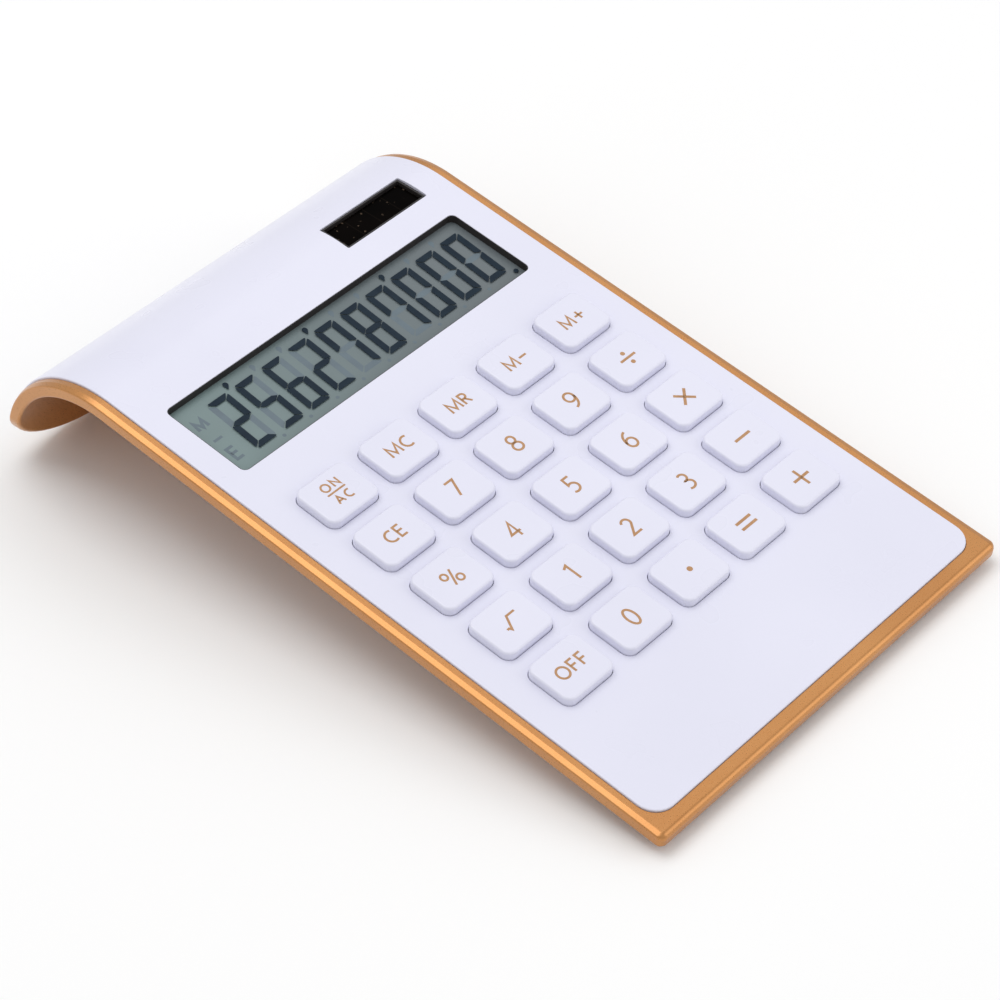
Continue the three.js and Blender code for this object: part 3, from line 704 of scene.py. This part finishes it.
def key_hole(column, row, inset=0.0):
    x, y = key_centre(column, row)
    width = KEY_WIDTH + 2 * HOLE_CLEARANCE
    length = KEY_LENGTH + 2 * HOLE_CLEARANCE
    return rounded_loop(x, y, width, length, KEY_CORNER + HOLE_CLEARANCE, CORNER_STEPS, inset)


def display_window(inset):
    return rounded_loop(
        DISPLAY_X, DISPLAY_CENTRE, DISPLAY_WIDTH, DISPLAY_LENGTH, DISPLAY_CORNER, CORNER_STEPS, inset
    )


def sheet_walls(build, outline, edge, side):
    """The rounded upper edge and the wall of the cover (side 1) or of a hole in it (side -1).

    outline(depth, inset) gives its loop. Returns its upper and its lower loop, as (loop, numbers)."""
    rings = []
    for inset, depth, out, sideways in rounding(EDGE_STEPS):
        loop = outline(edge * depth, side * edge * inset)
        rings.append((loop, build.ring(loop, edge * depth), build.leaning(loop, out, side * sideways)))
    loop = outline(COVER_THICKNESS, 0.0)
    rings.append((loop, build.ring(loop, COVER_THICKNESS), build.leaning(loop, 0, side)))
    for pair in zip(rings, rings[1:]):
        low, high = reversed(pair) if side > 0 else pair
        build.strip(low[1], high[1], low[2], high[2])
    return rings[0][:2], rings[-1][:2]


def make_cover():
    """The white sheet over the face and the curl, with its windows and key holes."""
    build = Curled()
    inset = RIM_WIDTH + COVER_GAP
    front_inset = FRONT_RIM_WIDTH + COVER_GAP
    rows = curl_rows(0.0, inset)

    def outline(depth, extra):
        return body_loop(depth, inset + extra, COVER_CORNER - extra, front_inset + extra)

    def display(depth, extra):
        return display_window(extra)

    def solar(depth, extra):
        y = CURL_START + SOLAR_ARC
        window = rounded_loop(SOLAR_X, y, SOLAR_WIDTH, SOLAR_LENGTH, SOLAR_CORNER, SOLAR_STEPS, extra)
        return cut_at_rows(window, rows)

    def key(column, row):
        return lambda depth, extra: key_hole(column, row, extra)

    top, bottom = sheet_walls(build, outline, COVER_EDGE, 1)
    shapes = [display, solar]
    for row in range(len(KEY_NAMES)):
        shapes += [key(column, row) for column in range(len(KEY_NAMES[row]))]
    upper = []
    lower = []
    for shape in shapes:
        first, last = sheet_walls(build, shape, HOLE_EDGE, -1)
        upper.append(first)
        lower.append(last)
    build.fill(0.0, top[0], top[1], upper, rows, 1)
    build.fill(COVER_THICKNESS, bottom[0], bottom[1], lower, rows, -1)
    return build.object("cover", MATERIALS["white_gloss"], "body", "white_gloss", ["top_cover"])


# ---- the gold shell ----
SHOULDER_LEAN = 20.0  # the rim's outer part slopes along the sides
SHOULDER_WIDTH = 1.35
SHOULDER_ROUND = 0.45
FRONT_ROUND = 1.4
SHELL_LOWER_EDGE = 0.7
SHOULDER_BLEND = 0.2  # where the rim turns into the slope
ROUND_ANGLES = [20.0, 37.5, 55.0, 72.5, 90.0]
FRONT_ANGLES = [0.0, 8.0, 14.0] + ROUND_ANGLES
LEAST_BODY_CORNER = 0.3
SEAT_EDGE = 0.12
FLOOR_DEPTH = COVER_THICKNESS + SEAM
POCKET_CENTRE = 60.95
POCKET_WIDTH = 29.0
POCKET_LENGTH = 12.5
POCKET_CORNER = 0.4
POCKET_DEPTH = 2.95


def round_step(radius, angle, drop):
    """(inset, sunk, lean) on a quarter circle that ends at a drop below the rim."""
    turn = math.radians(angle)
    return radius * (1 - math.sin(turn)), drop - radius * math.cos(turn), angle


def side_profile():
    """The rim's outer part along the sides: a slope with a round outer edge."""
    slope = math.tan(math.radians(SHOULDER_LEAN))
    turn = math.radians(SHOULDER_LEAN)
    start = SHOULDER_WIDTH - SHOULDER_BLEND
    end = SHOULDER_ROUND * (1 - math.sin(turn))
    fall = (start - end) * slope
    drop = fall + SHOULDER_ROUND * math.cos(turn)
    middle = (start + end) / 2
    steps = [(SHOULDER_WIDTH, 0.0, 0.0), (start, 0.0, SHOULDER_LEAN)]
    steps.append((middle, fall / 2, SHOULDER_LEAN))
    return steps + [round_step(SHOULDER_ROUND, angle, drop) for angle in ROUND_ANGLES]


def front_profile():
    """The rim's outer part along the front: a round edge."""
    return [round_step(FRONT_ROUND, angle, FRONT_ROUND) for angle in FRONT_ANGLES]


def make_shell():
    """The gold moulding: rim, sides and leg, open under the keys and the display."""
    build = Curled()

    def outer(depth, inset):
        return body_loop(depth, inset, max(BODY_CORNER - inset, LEAST_BODY_CORNER))

    def upper_ring(along_side, along_front):
        """Part of the way round the upper edge, with the normals there."""
        points = []
        normals = []
        for x, s, dx, ds in outer(RIM_DEPTH + along_side[1], 0):
            share = max(0.0, -ds)
            inset, sunk, lean = [a + (b - a) * share for a, b in zip(along_side, along_front)]
            moved_s = s - ds * inset
            points.append(bent(x - dx * inset, moved_s, RIM_DEPTH + sunk))
            sideways = math.sin(math.radians(lean))
            out = math.cos(math.radians(lean))
            normals.append(bent_direction(moved_s, dx * sideways, ds * sideways, out))
        return build.loop(points), normals

    def seat(extra, depth):
        return body_loop(depth, RIM_WIDTH + extra, COVER_CORNER, FRONT_RIM_WIDTH + extra)

    # From the underside, round the lower edge, up the side and over the rim.
    rings = []
    for inset, sunk, out, sideways in rounding(EDGE_STEPS):
        depth = SHELL_DEPTH - SHELL_LOWER_EDGE * sunk
        loop = outer(depth, SHELL_LOWER_EDGE * inset)
        rings.append((build.ring(loop, depth), build.leaning(loop, -out, sideways)))
    under = outer(SHELL_DEPTH, SHELL_LOWER_EDGE)
    for along_side, along_front in reversed(list(zip(side_profile(), front_profile()))):
        rings.append(upper_ring(along_side, along_front))
    # The rim's flat top, its inner edge, and the wall of the seat for the cover.
    foot = seat(0, FLOOR_DEPTH)
    seat_steps = [
        (seat(-SEAT_EDGE, RIM_DEPTH), RIM_DEPTH, (1, 0)),
        (seat(0, RIM_DEPTH), RIM_DEPTH + SEAT_EDGE, (0, -1)),
        (foot, FLOOR_DEPTH, (0, -1)),
    ]
    for loop, depth, lean in seat_steps:
        rings.append((build.ring(loop, depth), build.leaning(loop, *lean)))
    for (low, low_normals), (high, high_normals) in zip(rings, rings[1:]):
        build.strip(low, high, low_normals, high_normals)
    # The floor under the cover, with the opening and the pocket for the solar cell.
    rows = curl_rows(FLOOR_DEPTH, RIM_WIDTH)
    middle = (OPENING_BACK + OPENING_FRONT) / 2
    length = OPENING_BACK - OPENING_FRONT
    opening = rounded_loop(0, middle, 2 * OPENING_HALF_WIDTH, length, TRAY_CORNER, CORNER_STEPS)
    opening_top, opening_foot = build.drop(opening, FLOOR_DEPTH, SHELL_DEPTH)
    pocket = rounded_loop(SOLAR_X, POCKET_CENTRE, POCKET_WIDTH, POCKET_LENGTH, POCKET_CORNER, 2)
    pocket = cut_at_rows(pocket, rows)
    pocket_top, pocket_foot = build.drop(pocket, FLOOR_DEPTH, POCKET_DEPTH)
    holes = [(opening, opening_top), (pocket, pocket_top)]
    build.fill(FLOOR_DEPTH, foot, rings[-1][0], holes, rows, 1)
    inner_rows = [s for s in rows if pocket[0][1] < s < max(p[1] for p in pocket)]
    build.fill(POCKET_DEPTH, pocket, pocket_foot, [], inner_rows, 1)
    # The underside.
    under_rows = curl_rows(SHELL_DEPTH, SHELL_LOWER_EDGE)
    build.fill(SHELL_DEPTH, under, rings[0][0], [(opening, opening_foot)], under_rows, -1)
    return build.object("shell", MATERIALS["gold_lacquer"], "body", "gold_lacquer", ["curved_shell"])


# ---- keys ----
KEY_EDGE = 0.6
KEY_EDGE_STEPS = 6
KEY_CORNER_STEPS = 8
KEY_HOLLOW_CORNER = 1.0


def make_key(name, column, row):
    """A hollow key cap with a round upper edge and a flange under the cover."""
    build = Curled()
    x, y = key_centre(column, row)

    def outline(inset):
        return rounded_loop(x, y, KEY_WIDTH, KEY_LENGTH, KEY_CORNER, KEY_CORNER_STEPS, inset)

    def hollow():
        width = KEY_WIDTH - 2 * KEY_WALL
        length = KEY_LENGTH - 2 * KEY_WALL
        return rounded_loop(x, y, width, length, KEY_HOLLOW_CORNER, KEY_CORNER_STEPS)

    # From the roof inside, round the flange, to the foot of the outer wall.
    profile = [
        (hollow(), KEY_TOP - KEY_ROOF, (0, -1)),
        (hollow(), KEY_BOTTOM, (-1, 0)),
        (outline(-KEY_FLANGE), KEY_BOTTOM, (0, 1)),
        (outline(-KEY_FLANGE), KEY_FLANGE_TOP, (1, 0)),
        (outline(0), KEY_FLANGE_TOP, (0, 1)),
    ]
    rings = build.sweep(profile)
    previous = (rings[-1], build.leaning(profile[-1][0], 0, 1))
    for inset, sunk, out, sideways in reversed(rounding(KEY_EDGE_STEPS)):
        loop = outline(KEY_EDGE * inset)
        ring = build.ring(loop, KEY_EDGE * sunk - KEY_TOP)
        normals = build.leaning(loop, out, sideways)
        build.strip(previous[0], ring, previous[1], normals)
        previous = (ring, normals)
    build.flat(previous[0], turned(0, 0, 1))
    build.flat(reversed(rings[0]), turned(0, 0, -1))
    node = "key_" + name
    return build.object("cap_" + name, MATERIALS["white_gloss"], node, "white_gloss", [node])


# ---- stroke lettering ----
def curve(x, y, rx, ry, start, stop, steps=14):
    """Part of an ellipse as points."""
    points = []
    for step in range(steps + 1):
        angle = math.radians(start + (stop - start) * step / steps)
        points.append((x + rx * math.cos(angle), y + ry * math.sin(angle)))
    return points


def ring_of(x, y, rx, ry):
    return curve(x, y, rx, ry, 90, 450, 28)


# Each glyph is (width, strokes), on a height of 1, along the middle of its strokes.
GLYPHS = {
    "0": (0.54, [ring_of(0.27, 0.5, 0.27, 0.5)]),
    "1": (0.27, [[(0.0, 0.86), (0.25, 1.0), (0.25, 0.0)]]),
    "2": (0.54, [curve(0.25, 0.74, 0.24, 0.26, 158, -28) + [(0.0, 0.0), (0.54, 0.0)]]),
    "3": (
        0.50,
        [
            curve(0.19, 0.765, 0.235, 0.235, 128, -90) + curve(0.17, 0.265, 0.30, 0.265, 90, -125),
            [(0.10, 0.53), (0.20, 0.53)],
        ],
    ),
    "4": (0.60, [[(0.43, 0.0), (0.43, 1.0), (0.0, 0.30), (0.60, 0.30)]]),
    "5": (0.50, [[(0.47, 1.0), (0.08, 1.0), (0.05, 0.545)] + curve(0.18, 0.295, 0.30, 0.295, 100, -128)]),
    "6": (
        0.54,
        [ring_of(0.27, 0.30, 0.27, 0.30), curve(0.50, 0.32, 0.50, 0.69, 180, 96, 16)],
    ),
    "7": (0.52, [[(0.0, 1.0), (0.52, 1.0), (0.12, 0.0)]]),
    "8": (0.54, [ring_of(0.27, 0.765, 0.215, 0.235), ring_of(0.27, 0.265, 0.27, 0.265)]),
    "9": (
        0.54,
        [ring_of(0.27, 0.70, 0.27, 0.30), curve(0.04, 0.68, 0.50, 0.69, 0, -84, 16)],
    ),
    "M": (1.0, [[(0.0, 0.0), (0.07, 1.0), (0.50, 0.14), (0.93, 1.0), (1.0, 0.0)]]),
    "C": (0.68, [curve(0.48, 0.5, 0.48, 0.5, 62, 298, 20)]),
    "R": (
        0.60,
        [
            [(0.0, 0.0), (0.0, 1.0), (0.24, 1.0)] + curve(0.24, 0.755, 0.27, 0.245, 80, -80, 12)
            + [(0.24, 0.51), (0.0, 0.51)],
            [(0.24, 0.51), (0.58, 0.0)],
        ],
    ),
    "E": (0.52, [[(0.52, 1.0), (0.0, 1.0), (0.0, 0.0), (0.52, 0.0)], [(0.0, 0.53), (0.48, 0.53)]]),
    "F": (0.50, [[(0.50, 1.0), (0.0, 1.0), (0.0, 0.0)], [(0.0, 0.52), (0.46, 0.52)]]),
    "O": (0.92, [ring_of(0.46, 0.5, 0.46, 0.5)]),
    "N": (0.72, [[(0.0, 0.0), (0.0, 1.0), (0.72, 0.0), (0.72, 1.0)]]),
    "A": (0.84, [[(0.0, 0.0), (0.42, 1.0), (0.84, 0.0)], [(0.14, 0.33), (0.70, 0.33)]]),
    "+": (0.76, [[(0.0, 0.5), (0.76, 0.5)], [(0.38, 0.12), (0.38, 0.88)]]),
    "-": (0.70, [[(0.0, 0.5), (0.70, 0.5)]]),
}


def word_strokes(word, height, gap, x, y):
    """The strokes of a word of the given height, centred on a point."""
    widths = [GLYPHS[letter][0] * height for letter in word]
    pen = x - (sum(widths) + gap * (len(word) - 1)) / 2
    strokes = []
    for letter, width in zip(word, widths):
        for stroke in GLYPHS[letter][1]:
            strokes.append([(pen + px * height, y + (py - 0.5) * height) for px, py in stroke])
        pen += width + gap
    return strokes


def offset_sides(stroke, half):
    """The left and right edges of a stroke, with mitred joints."""
    closed = math.dist(stroke[0], stroke[-1]) < 1e-6
    points = [Vector(p) for p in stroke]
    left = []
    right = []
    for i, point in enumerate(points):
        before = points[i - 1] if i else (points[-2] if closed else None)
        after = points[i + 1] if i + 1 < len(points) else (points[1] if closed else None)
        directions = []
        if before is not None and (point - before).length > 1e-6:
            directions.append((point - before).normalized())
        if after is not None and (after - point).length > 1e-6:
            directions.append((after - point).normalized())
        along = sum(directions, Vector((0, 0))).normalized()
        side = Vector((-along[1], along[0]))
        reach = half / max(side.dot(Vector((-directions[0][1], directions[0][0]))), 0.42)
        left.append(point + side * reach)
        right.append(point - side * reach)
    return left, right, closed


class Print(Build):
    """Thin flat shapes lying on a plane of the face frame."""

    def __init__(self, bottom, top):
        super().__init__()
        self.bottom = bottom
        self.top = top

    def stroke(self, stroke, width):
        """One stroke as a thin solid ribbon."""
        left, right, closed = offset_sides(stroke, width / 2)
        rings = []
        for height in (self.bottom, self.top):
            rings.append(self.loop([place(p[0], p[1], height) for p in left]))
            rings.append(self.loop([place(p[0], p[1], height) for p in right]))
        low_left, low_right, high_left, high_right = rings
        up = turned(0, 0, 1)
        for i in range(len(left) - 1):
            j = i + 1
            self.flat([high_right[i], high_right[j], high_left[j], high_left[i]], up)
            self.flat([low_left[i], low_left[j], low_right[j], low_right[i]], -up)
            self.side(low_left[j], low_left[i], high_left[i], high_left[j])
            self.side(low_right[i], low_right[j], high_right[j], high_right[i])
        if not closed:
            self.side(low_left[0], low_right[0], high_right[0], high_left[0])
            self.side(low_right[-1], low_left[-1], high_left[-1], high_right[-1])

    def side(self, a, b, c, d):
        normal = (self.points[b] - self.points[a]).cross(self.points[d] - self.points[a])
        self.flat([a, b, c, d], normal.normalized() if normal.length > 0 else turned(0, 0, 1))

    def polygon(self, outline):
        """A convex outline, counter-clockwise, as a thin solid."""
        low = self.loop([place(x, y, self.bottom) for x, y in outline])
        high = self.loop([place(x, y, self.top) for x, y in outline])
        self.flat(high, turned(0, 0, 1))
        self.flat(reversed(low), turned(0, 0, -1))
        for i in range(len(outline)):
            j = (i + 1) % len(outline)
            self.side(low[i], low[j], high[j], high[i])

    def dot(self, x, y, radius):
        self.polygon(curve(x, y, radius, radius, 0, 360 - 360 / DOT_SIDES, DOT_SIDES - 1))


DIGIT_HEIGHT = 4.35
DIGIT_STROKE = 0.56
WORD_HEIGHT = 3.0
WORD_STROKE = 0.52
SIGN_STROKE = 0.68
INK_RISE = 0.02
DOT_SIDES = 24


WORDS = {"mc": "MC", "mr": "MR", "ce": "CE", "off": "OFF", "m_minus": "M-", "m_plus": "M+"}
LETTER_GAP = 1.0
ON_AC = word_strokes("ON", 2.1, 1.0, 0, 2.35) + word_strokes("AC", 2.05, 0.95, 0, -1.75)
# Signs as (strokes, stroke width, dots of x, y and radius), from the middle of the key.
SIGNS = {
    "on_ac": (ON_AC + [[(-2.5, 0.4), (2.5, 0.4)]], 0.45, []),
    "percent": (
        [ring_of(-1.35, 1.05, 0.75, 0.85), ring_of(1.3, -1.05, 0.8, 0.85), [(-0.8, -2.0), (0.9, 2.0)]],
        0.5,
        [],
    ),
    "square_root": ([[(-2.3, -1.05), (-1.75, -1.0), (-1.45, -1.6), (0.2, 1.6), (2.5, 1.6)]], 0.52, []),
    "decimal": ([], 0, [(0, 0, 0.66)]),
    "minus": ([[(-2.35, 0), (2.35, 0)]], SIGN_STROKE, []),
    "plus": ([[(-2.35, 0), (2.35, 0)], [(0, -2.35), (0, 2.35)]], SIGN_STROKE, []),
    "equals": ([[(-2.3, -0.9), (2.3, -0.9)], [(-2.3, 0.9), (2.3, 0.9)]], SIGN_STROKE, []),
    "divide": ([[(-2.3, 0), (2.3, 0)]], 0.62, [(0, 1.55, 0.55), (0, -1.55, 0.55)]),
    "multiply": ([[(-1.75, -1.75), (1.75, 1.75)], [(-1.75, 1.75), (1.75, -1.75)]], SIGN_STROKE, []),
}


def legend_shapes(name):
    """What is printed on a key, as (strokes, stroke width, dots) from the middle of the key."""
    if name.isdigit():
        return word_strokes(name, DIGIT_HEIGHT, 0, 0, 0), DIGIT_STROKE, []
    if name in WORDS:
        return word_strokes(WORDS[name], WORD_HEIGHT, LETTER_GAP, 0, 0), WORD_STROKE, []
    return SIGNS[name]


def make_legend(name, column, row):
    x, y = key_centre(column, row)
    strokes, width, dots = legend_shapes(name)
    ink = Print(KEY_TOP - INK_RISE, KEY_TOP + INK_RISE)
    for stroke in strokes:
        ink.stroke([(x + px, y + py) for px, py in stroke], width)
    for px, py, radius in dots:
        ink.dot(x + px, y + py, radius)
    return ink.object("legend_" + name, MATERIALS["legend_ink"], "key_" + name, "gold_lacquer")


# ---- the display ----
PANEL_TOP = -2.05
SEGMENT_BOTTOM = -1.78
SEGMENT_TOP = -1.75
UNLIT_RISE = 0.01
DIGIT_PITCH = 8.01
FIRST_DIGIT_X = -37.1
DIGITS_BOTTOM = 28.2
SEGMENT_DIGIT_WIDTH = 5.95
SEGMENT_DIGIT_HEIGHT = 16.15
SEGMENT_WIDTH = 1.52
SEGMENT_GAP = 0.115
CORNER_CUT = 0.45
SLANT = 0.042
SHOWN = "2562787000"
SEGMENTS_OF = {
    "0": "abcdef",
    "2": "abged",
    "5": "afgcd",
    "6": "afgedc",
    "7": "fabc",
    "8": "abcdefg",
}
APOSTROPHES = (0, 3, 6)
APOSTROPHE_GAP = 1.9
UNLIT_POINT = (0.9, -0.95, 0.45)  # from a digit's lower right corner, with its radius
LIT_POINT = (1.35, -1.25, 0.6)
# The unlit marks at the left end, as (strokes, stroke width).
UNLIT_MARKS = [
    (word_strokes("M", 2.6, 0, -40.9, 41.4), 0.85),
    ([[(-42.3, 36.0), (-39.9, 36.0)]], 0.7),
    (word_strokes("E", 3.5, 0, -41.2, 30.9), 0.75),
]


def segment_outlines():
    """The outline of each of the seven segments in an upright digit, counter-clockwise."""
    wide = SEGMENT_DIGIT_WIDTH
    high = SEGMENT_DIGIT_HEIGHT
    thick = SEGMENT_WIDTH
    gap = SEGMENT_GAP
    half = high / 2
    cut = CORNER_CUT
    upper_left = [
        (cut * 0.3, high - cut - gap),
        (0.0, high - cut - 2 * gap - 0.3),
        (0.0, half + gap + 0.1),
        (0.25, half + gap),
        (thick, half + thick / 2 + gap),
        (thick, high - thick - gap),
    ]
    top = [
        (cut + gap, high),
        (cut * 0.5 + gap, high - cut * 0.5),
        (thick + gap, high - thick),
        (wide - thick - gap, high - thick),
        (wide - cut * 0.5 - gap, high - cut * 0.5),
        (wide - cut - gap, high),
    ]
    middle = [
        (0.35 + gap, half),
        (thick - 0.1 + gap, half - thick / 2),
        (wide - thick + 0.1 - gap, half - thick / 2),
        (wide - 0.35 - gap, half),
        (wide - thick + 0.1 - gap, half + thick / 2),
        (thick - 0.1 + gap, half + thick / 2),
    ]

    def mirrored(outline, across, along):
        points = [(wide - x if across else x, high - y if along else y) for x, y in outline]
        return points if across == along else list(reversed(points))

    return {
        "a": top,
        "b": mirrored(upper_left, True, False),
        "c": mirrored(upper_left, True, True),
        "d": mirrored(top, False, True),
        "e": mirrored(upper_left, False, True),
        "f": upper_left,
        "g": middle,
    }


def slanted(outline, x):
    return [(x + px + py * SLANT, DIGITS_BOTTOM + py) for px, py in outline]


def apostrophe(x):
    """A round head with a tail that leans to the lower left."""
    top = DIGITS_BOTTOM + SEGMENT_DIGIT_HEIGHT
    head = curve(x + 0.15, top + 1.6, 0.62, 0.72, -50, 170, 12)
    return head + [(x - 0.35, top + 0.35), (x - 0.12, top + 0.3)]


def make_display():
    """The polariser panel, the lit segments above it and the unlit ones that still show faintly."""
    build = Curled()
    outline = rounded_loop(0, DISPLAY_CENTRE, GLASS_WIDTH, GLASS_LENGTH, GLASS_CORNER, 3)
    foot = build.ring(outline, -GLASS_BOTTOM)
    top = build.ring(outline, -PANEL_TOP)
    build.strip(foot, top, build.leaning(outline, 0, 1), build.leaning(outline, 0, 1))
    build.flat(top, turned(0, 0, 1))
    build.flat(reversed(foot), turned(0, 0, -1))
    polariser = MATERIALS["display_glass"]
    build.object("display_panel", polariser, "body", "display_glass", ["display_glass"])

    lit = Print(SEGMENT_BOTTOM, SEGMENT_TOP)
    faint = Print(PANEL_TOP - UNLIT_RISE, PANEL_TOP + UNLIT_RISE)
    shapes = segment_outlines()
    for index, digit in enumerate(SHOWN):
        x = FIRST_DIGIT_X + DIGIT_PITCH * index
        for letter, outline in shapes.items():
            ink = lit if letter in SEGMENTS_OF[digit] else faint
            ink.polygon(slanted(outline, x))
        end = x + SEGMENT_DIGIT_WIDTH
        is_last = index == len(SHOWN) - 1
        if not is_last:
            mark = lit if index in APOSTROPHES else faint
            mark.polygon(apostrophe(end + APOSTROPHE_GAP))
        dx, dy, radius = LIT_POINT if is_last else UNLIT_POINT
        point = lit if is_last else faint
        point.dot(end + dx, DIGITS_BOTTOM + dy, radius)
    for strokes, width in UNLIT_MARKS:
        for stroke in strokes:
            faint.stroke(stroke, width)
    lit.object("display_segments", MATERIALS["display_ink"], "body", "display_glass")
    faint.object("display_ghosts", MATERIALS["display_ghost"], "body", "display_glass")


LINING_GAP = 0.05
LINING_INSET = 0.16
LINING_TOP = -0.12
LINING_EDGE = 0.04
LINING_FOOT = -2.0
BEZEL_TOP = -1.25
BEZEL_REACH_X = 1.3
BEZEL_REACH_Y = 2.0


def make_bezel():
    """The black frame: a thin lining in the display window, and a flange under the cover."""
    build = Curled()
    width = DISPLAY_WIDTH + 2 * BEZEL_REACH_X
    length = DISPLAY_LENGTH + 2 * BEZEL_REACH_Y
    flange = rounded_loop(0, DISPLAY_CENTRE, width, length, DISPLAY_CORNER, CORNER_STEPS)
    # Round the section, from the lining's foot out along the underside.
    profile = [
        (display_window(LINING_INSET), LINING_FOOT, (-1, 0)),
        (flange, LINING_FOOT, (0, 1)),
        (flange, BEZEL_TOP, (1, 0)),
        (display_window(LINING_GAP), BEZEL_TOP, (0, 1)),
        (display_window(LINING_GAP), LINING_TOP, (1, 0)),
        (display_window(LINING_INSET - LINING_EDGE), LINING_TOP, (0.7, -0.7)),
        (display_window(LINING_INSET), LINING_TOP - LINING_EDGE, (0, -1)),
    ]
    build.sweep(profile, closed=True)
    build.object("bezel", MATERIALS["black_plastic"], "body", "black_plastic", ["display_bezel"])


# ---- stage ----
FLOOR_REACH = 6.0
LIGHT_SIZE = 0.8
WORLD_STRENGTH = 0.68
# name: (watts, place in metres)
LIGHTS = {
    "left": (4.4, (-0.06, 0.34, 1.15)),
    "front": (2.2, (0.65, -0.85, 0.55)),
    "right": (0.9, (0.72, 0.36, 1.06)),
}


def make_floor():
    material, tree, shader = new_material("floor", (0.90, 0.90, 0.90), 0.6)
    colour = ramp(tree, noise(tree, 3, 2.0), [(0.3, (0.965, 0.965, 0.965)), (0.7, (0.975, 0.975, 0.975))])
    tree.links.new(colour, shader.inputs["Base Color"])
    mesh = bpy.data.meshes.new("floor")
    signs = [(-1, -1), (1, -1), (1, 1), (-1, 1)]
    mesh.from_pydata([(FLOOR_REACH * x, FLOOR_REACH * y, 0) for x, y in signs], [], [(0, 1, 2, 3)])
    mesh.materials.append(material)
    floor = bpy.data.objects.new("floor", mesh)
    bpy.context.scene.collection.objects.link(floor)


def add_light(name, power, position):
    """A square soft box that faces the part."""
    light = bpy.data.lights.new(name, "AREA")
    light.shape = "SQUARE"
    light.size = LIGHT_SIZE
    light.energy = power
    lamp = bpy.data.objects.new(name, light)
    bpy.context.scene.collection.objects.link(lamp)
    lamp.location = position
    lamp.rotation_mode = "QUATERNION"
    lamp.rotation_quaternion = (-Vector(position)).to_track_quat("-Z", "Y")


CAMERA_PLACE = (-377.26, -291.11, 500.07)
CAMERA_VIEW = (0.5391, 0.4043, -0.7389)
CAMERA_RIGHT = (0.6683, -0.7393, 0.0830)
CAMERA_LENS = 118.0
CAMERA_SENSOR = 36.0


def add_camera():
    """The camera, from its place and its directions in the face frame."""
    back = -turned(*CAMERA_VIEW).normalized()
    right = turned(*CAMERA_RIGHT)
    right = (right - back * right.dot(back)).normalized()
    up = back.cross(right)
    data = bpy.data.cameras.new("camera")
    data.lens = CAMERA_LENS
    data.sensor_width = CAMERA_SENSOR
    data.clip_start = 0.01
    camera = bpy.data.objects.new("camera", data)
    bpy.context.scene.collection.objects.link(camera)
    rotation = Matrix((right, up, back)).transposed().to_4x4()
    camera.matrix_world = Matrix.Translation(place(*CAMERA_PLACE)) @ rotation
    bpy.context.scene.camera = camera


def set_light():
    world = bpy.data.worlds.new("studio")
    bpy.context.scene.world = world
    world.use_nodes = True
    background = world.node_tree.nodes["Background"]
    background.inputs["Color"].default_value = (1.0, 1.0, 1.0, 1)
    background.inputs["Strength"].default_value = WORLD_STRENGTH
    for name, (power, position) in LIGHTS.items():
        add_light(name, power, position)
    bpy.context.scene.view_settings.view_transform = "Standard"


dress_nodes()
make_cover()
make_shell()
for row, names in enumerate(KEY_NAMES):
    for column, name in enumerate(names):
        make_key(name, column, row)
        make_legend(name, column, row)
make_display()
make_bezel()
soften("bottom_cover", "body", 0.25)
soften("battery_door", "battery_door", 0.15)
soften("solar_holder", "body", 0.12)
for side in ("left", "right"):
    soften("front_foot_" + side, "body", 0.3, 3)
    soften("rear_pad_" + side, "body", 0.25)
make_floor()
add_camera()
set_light()
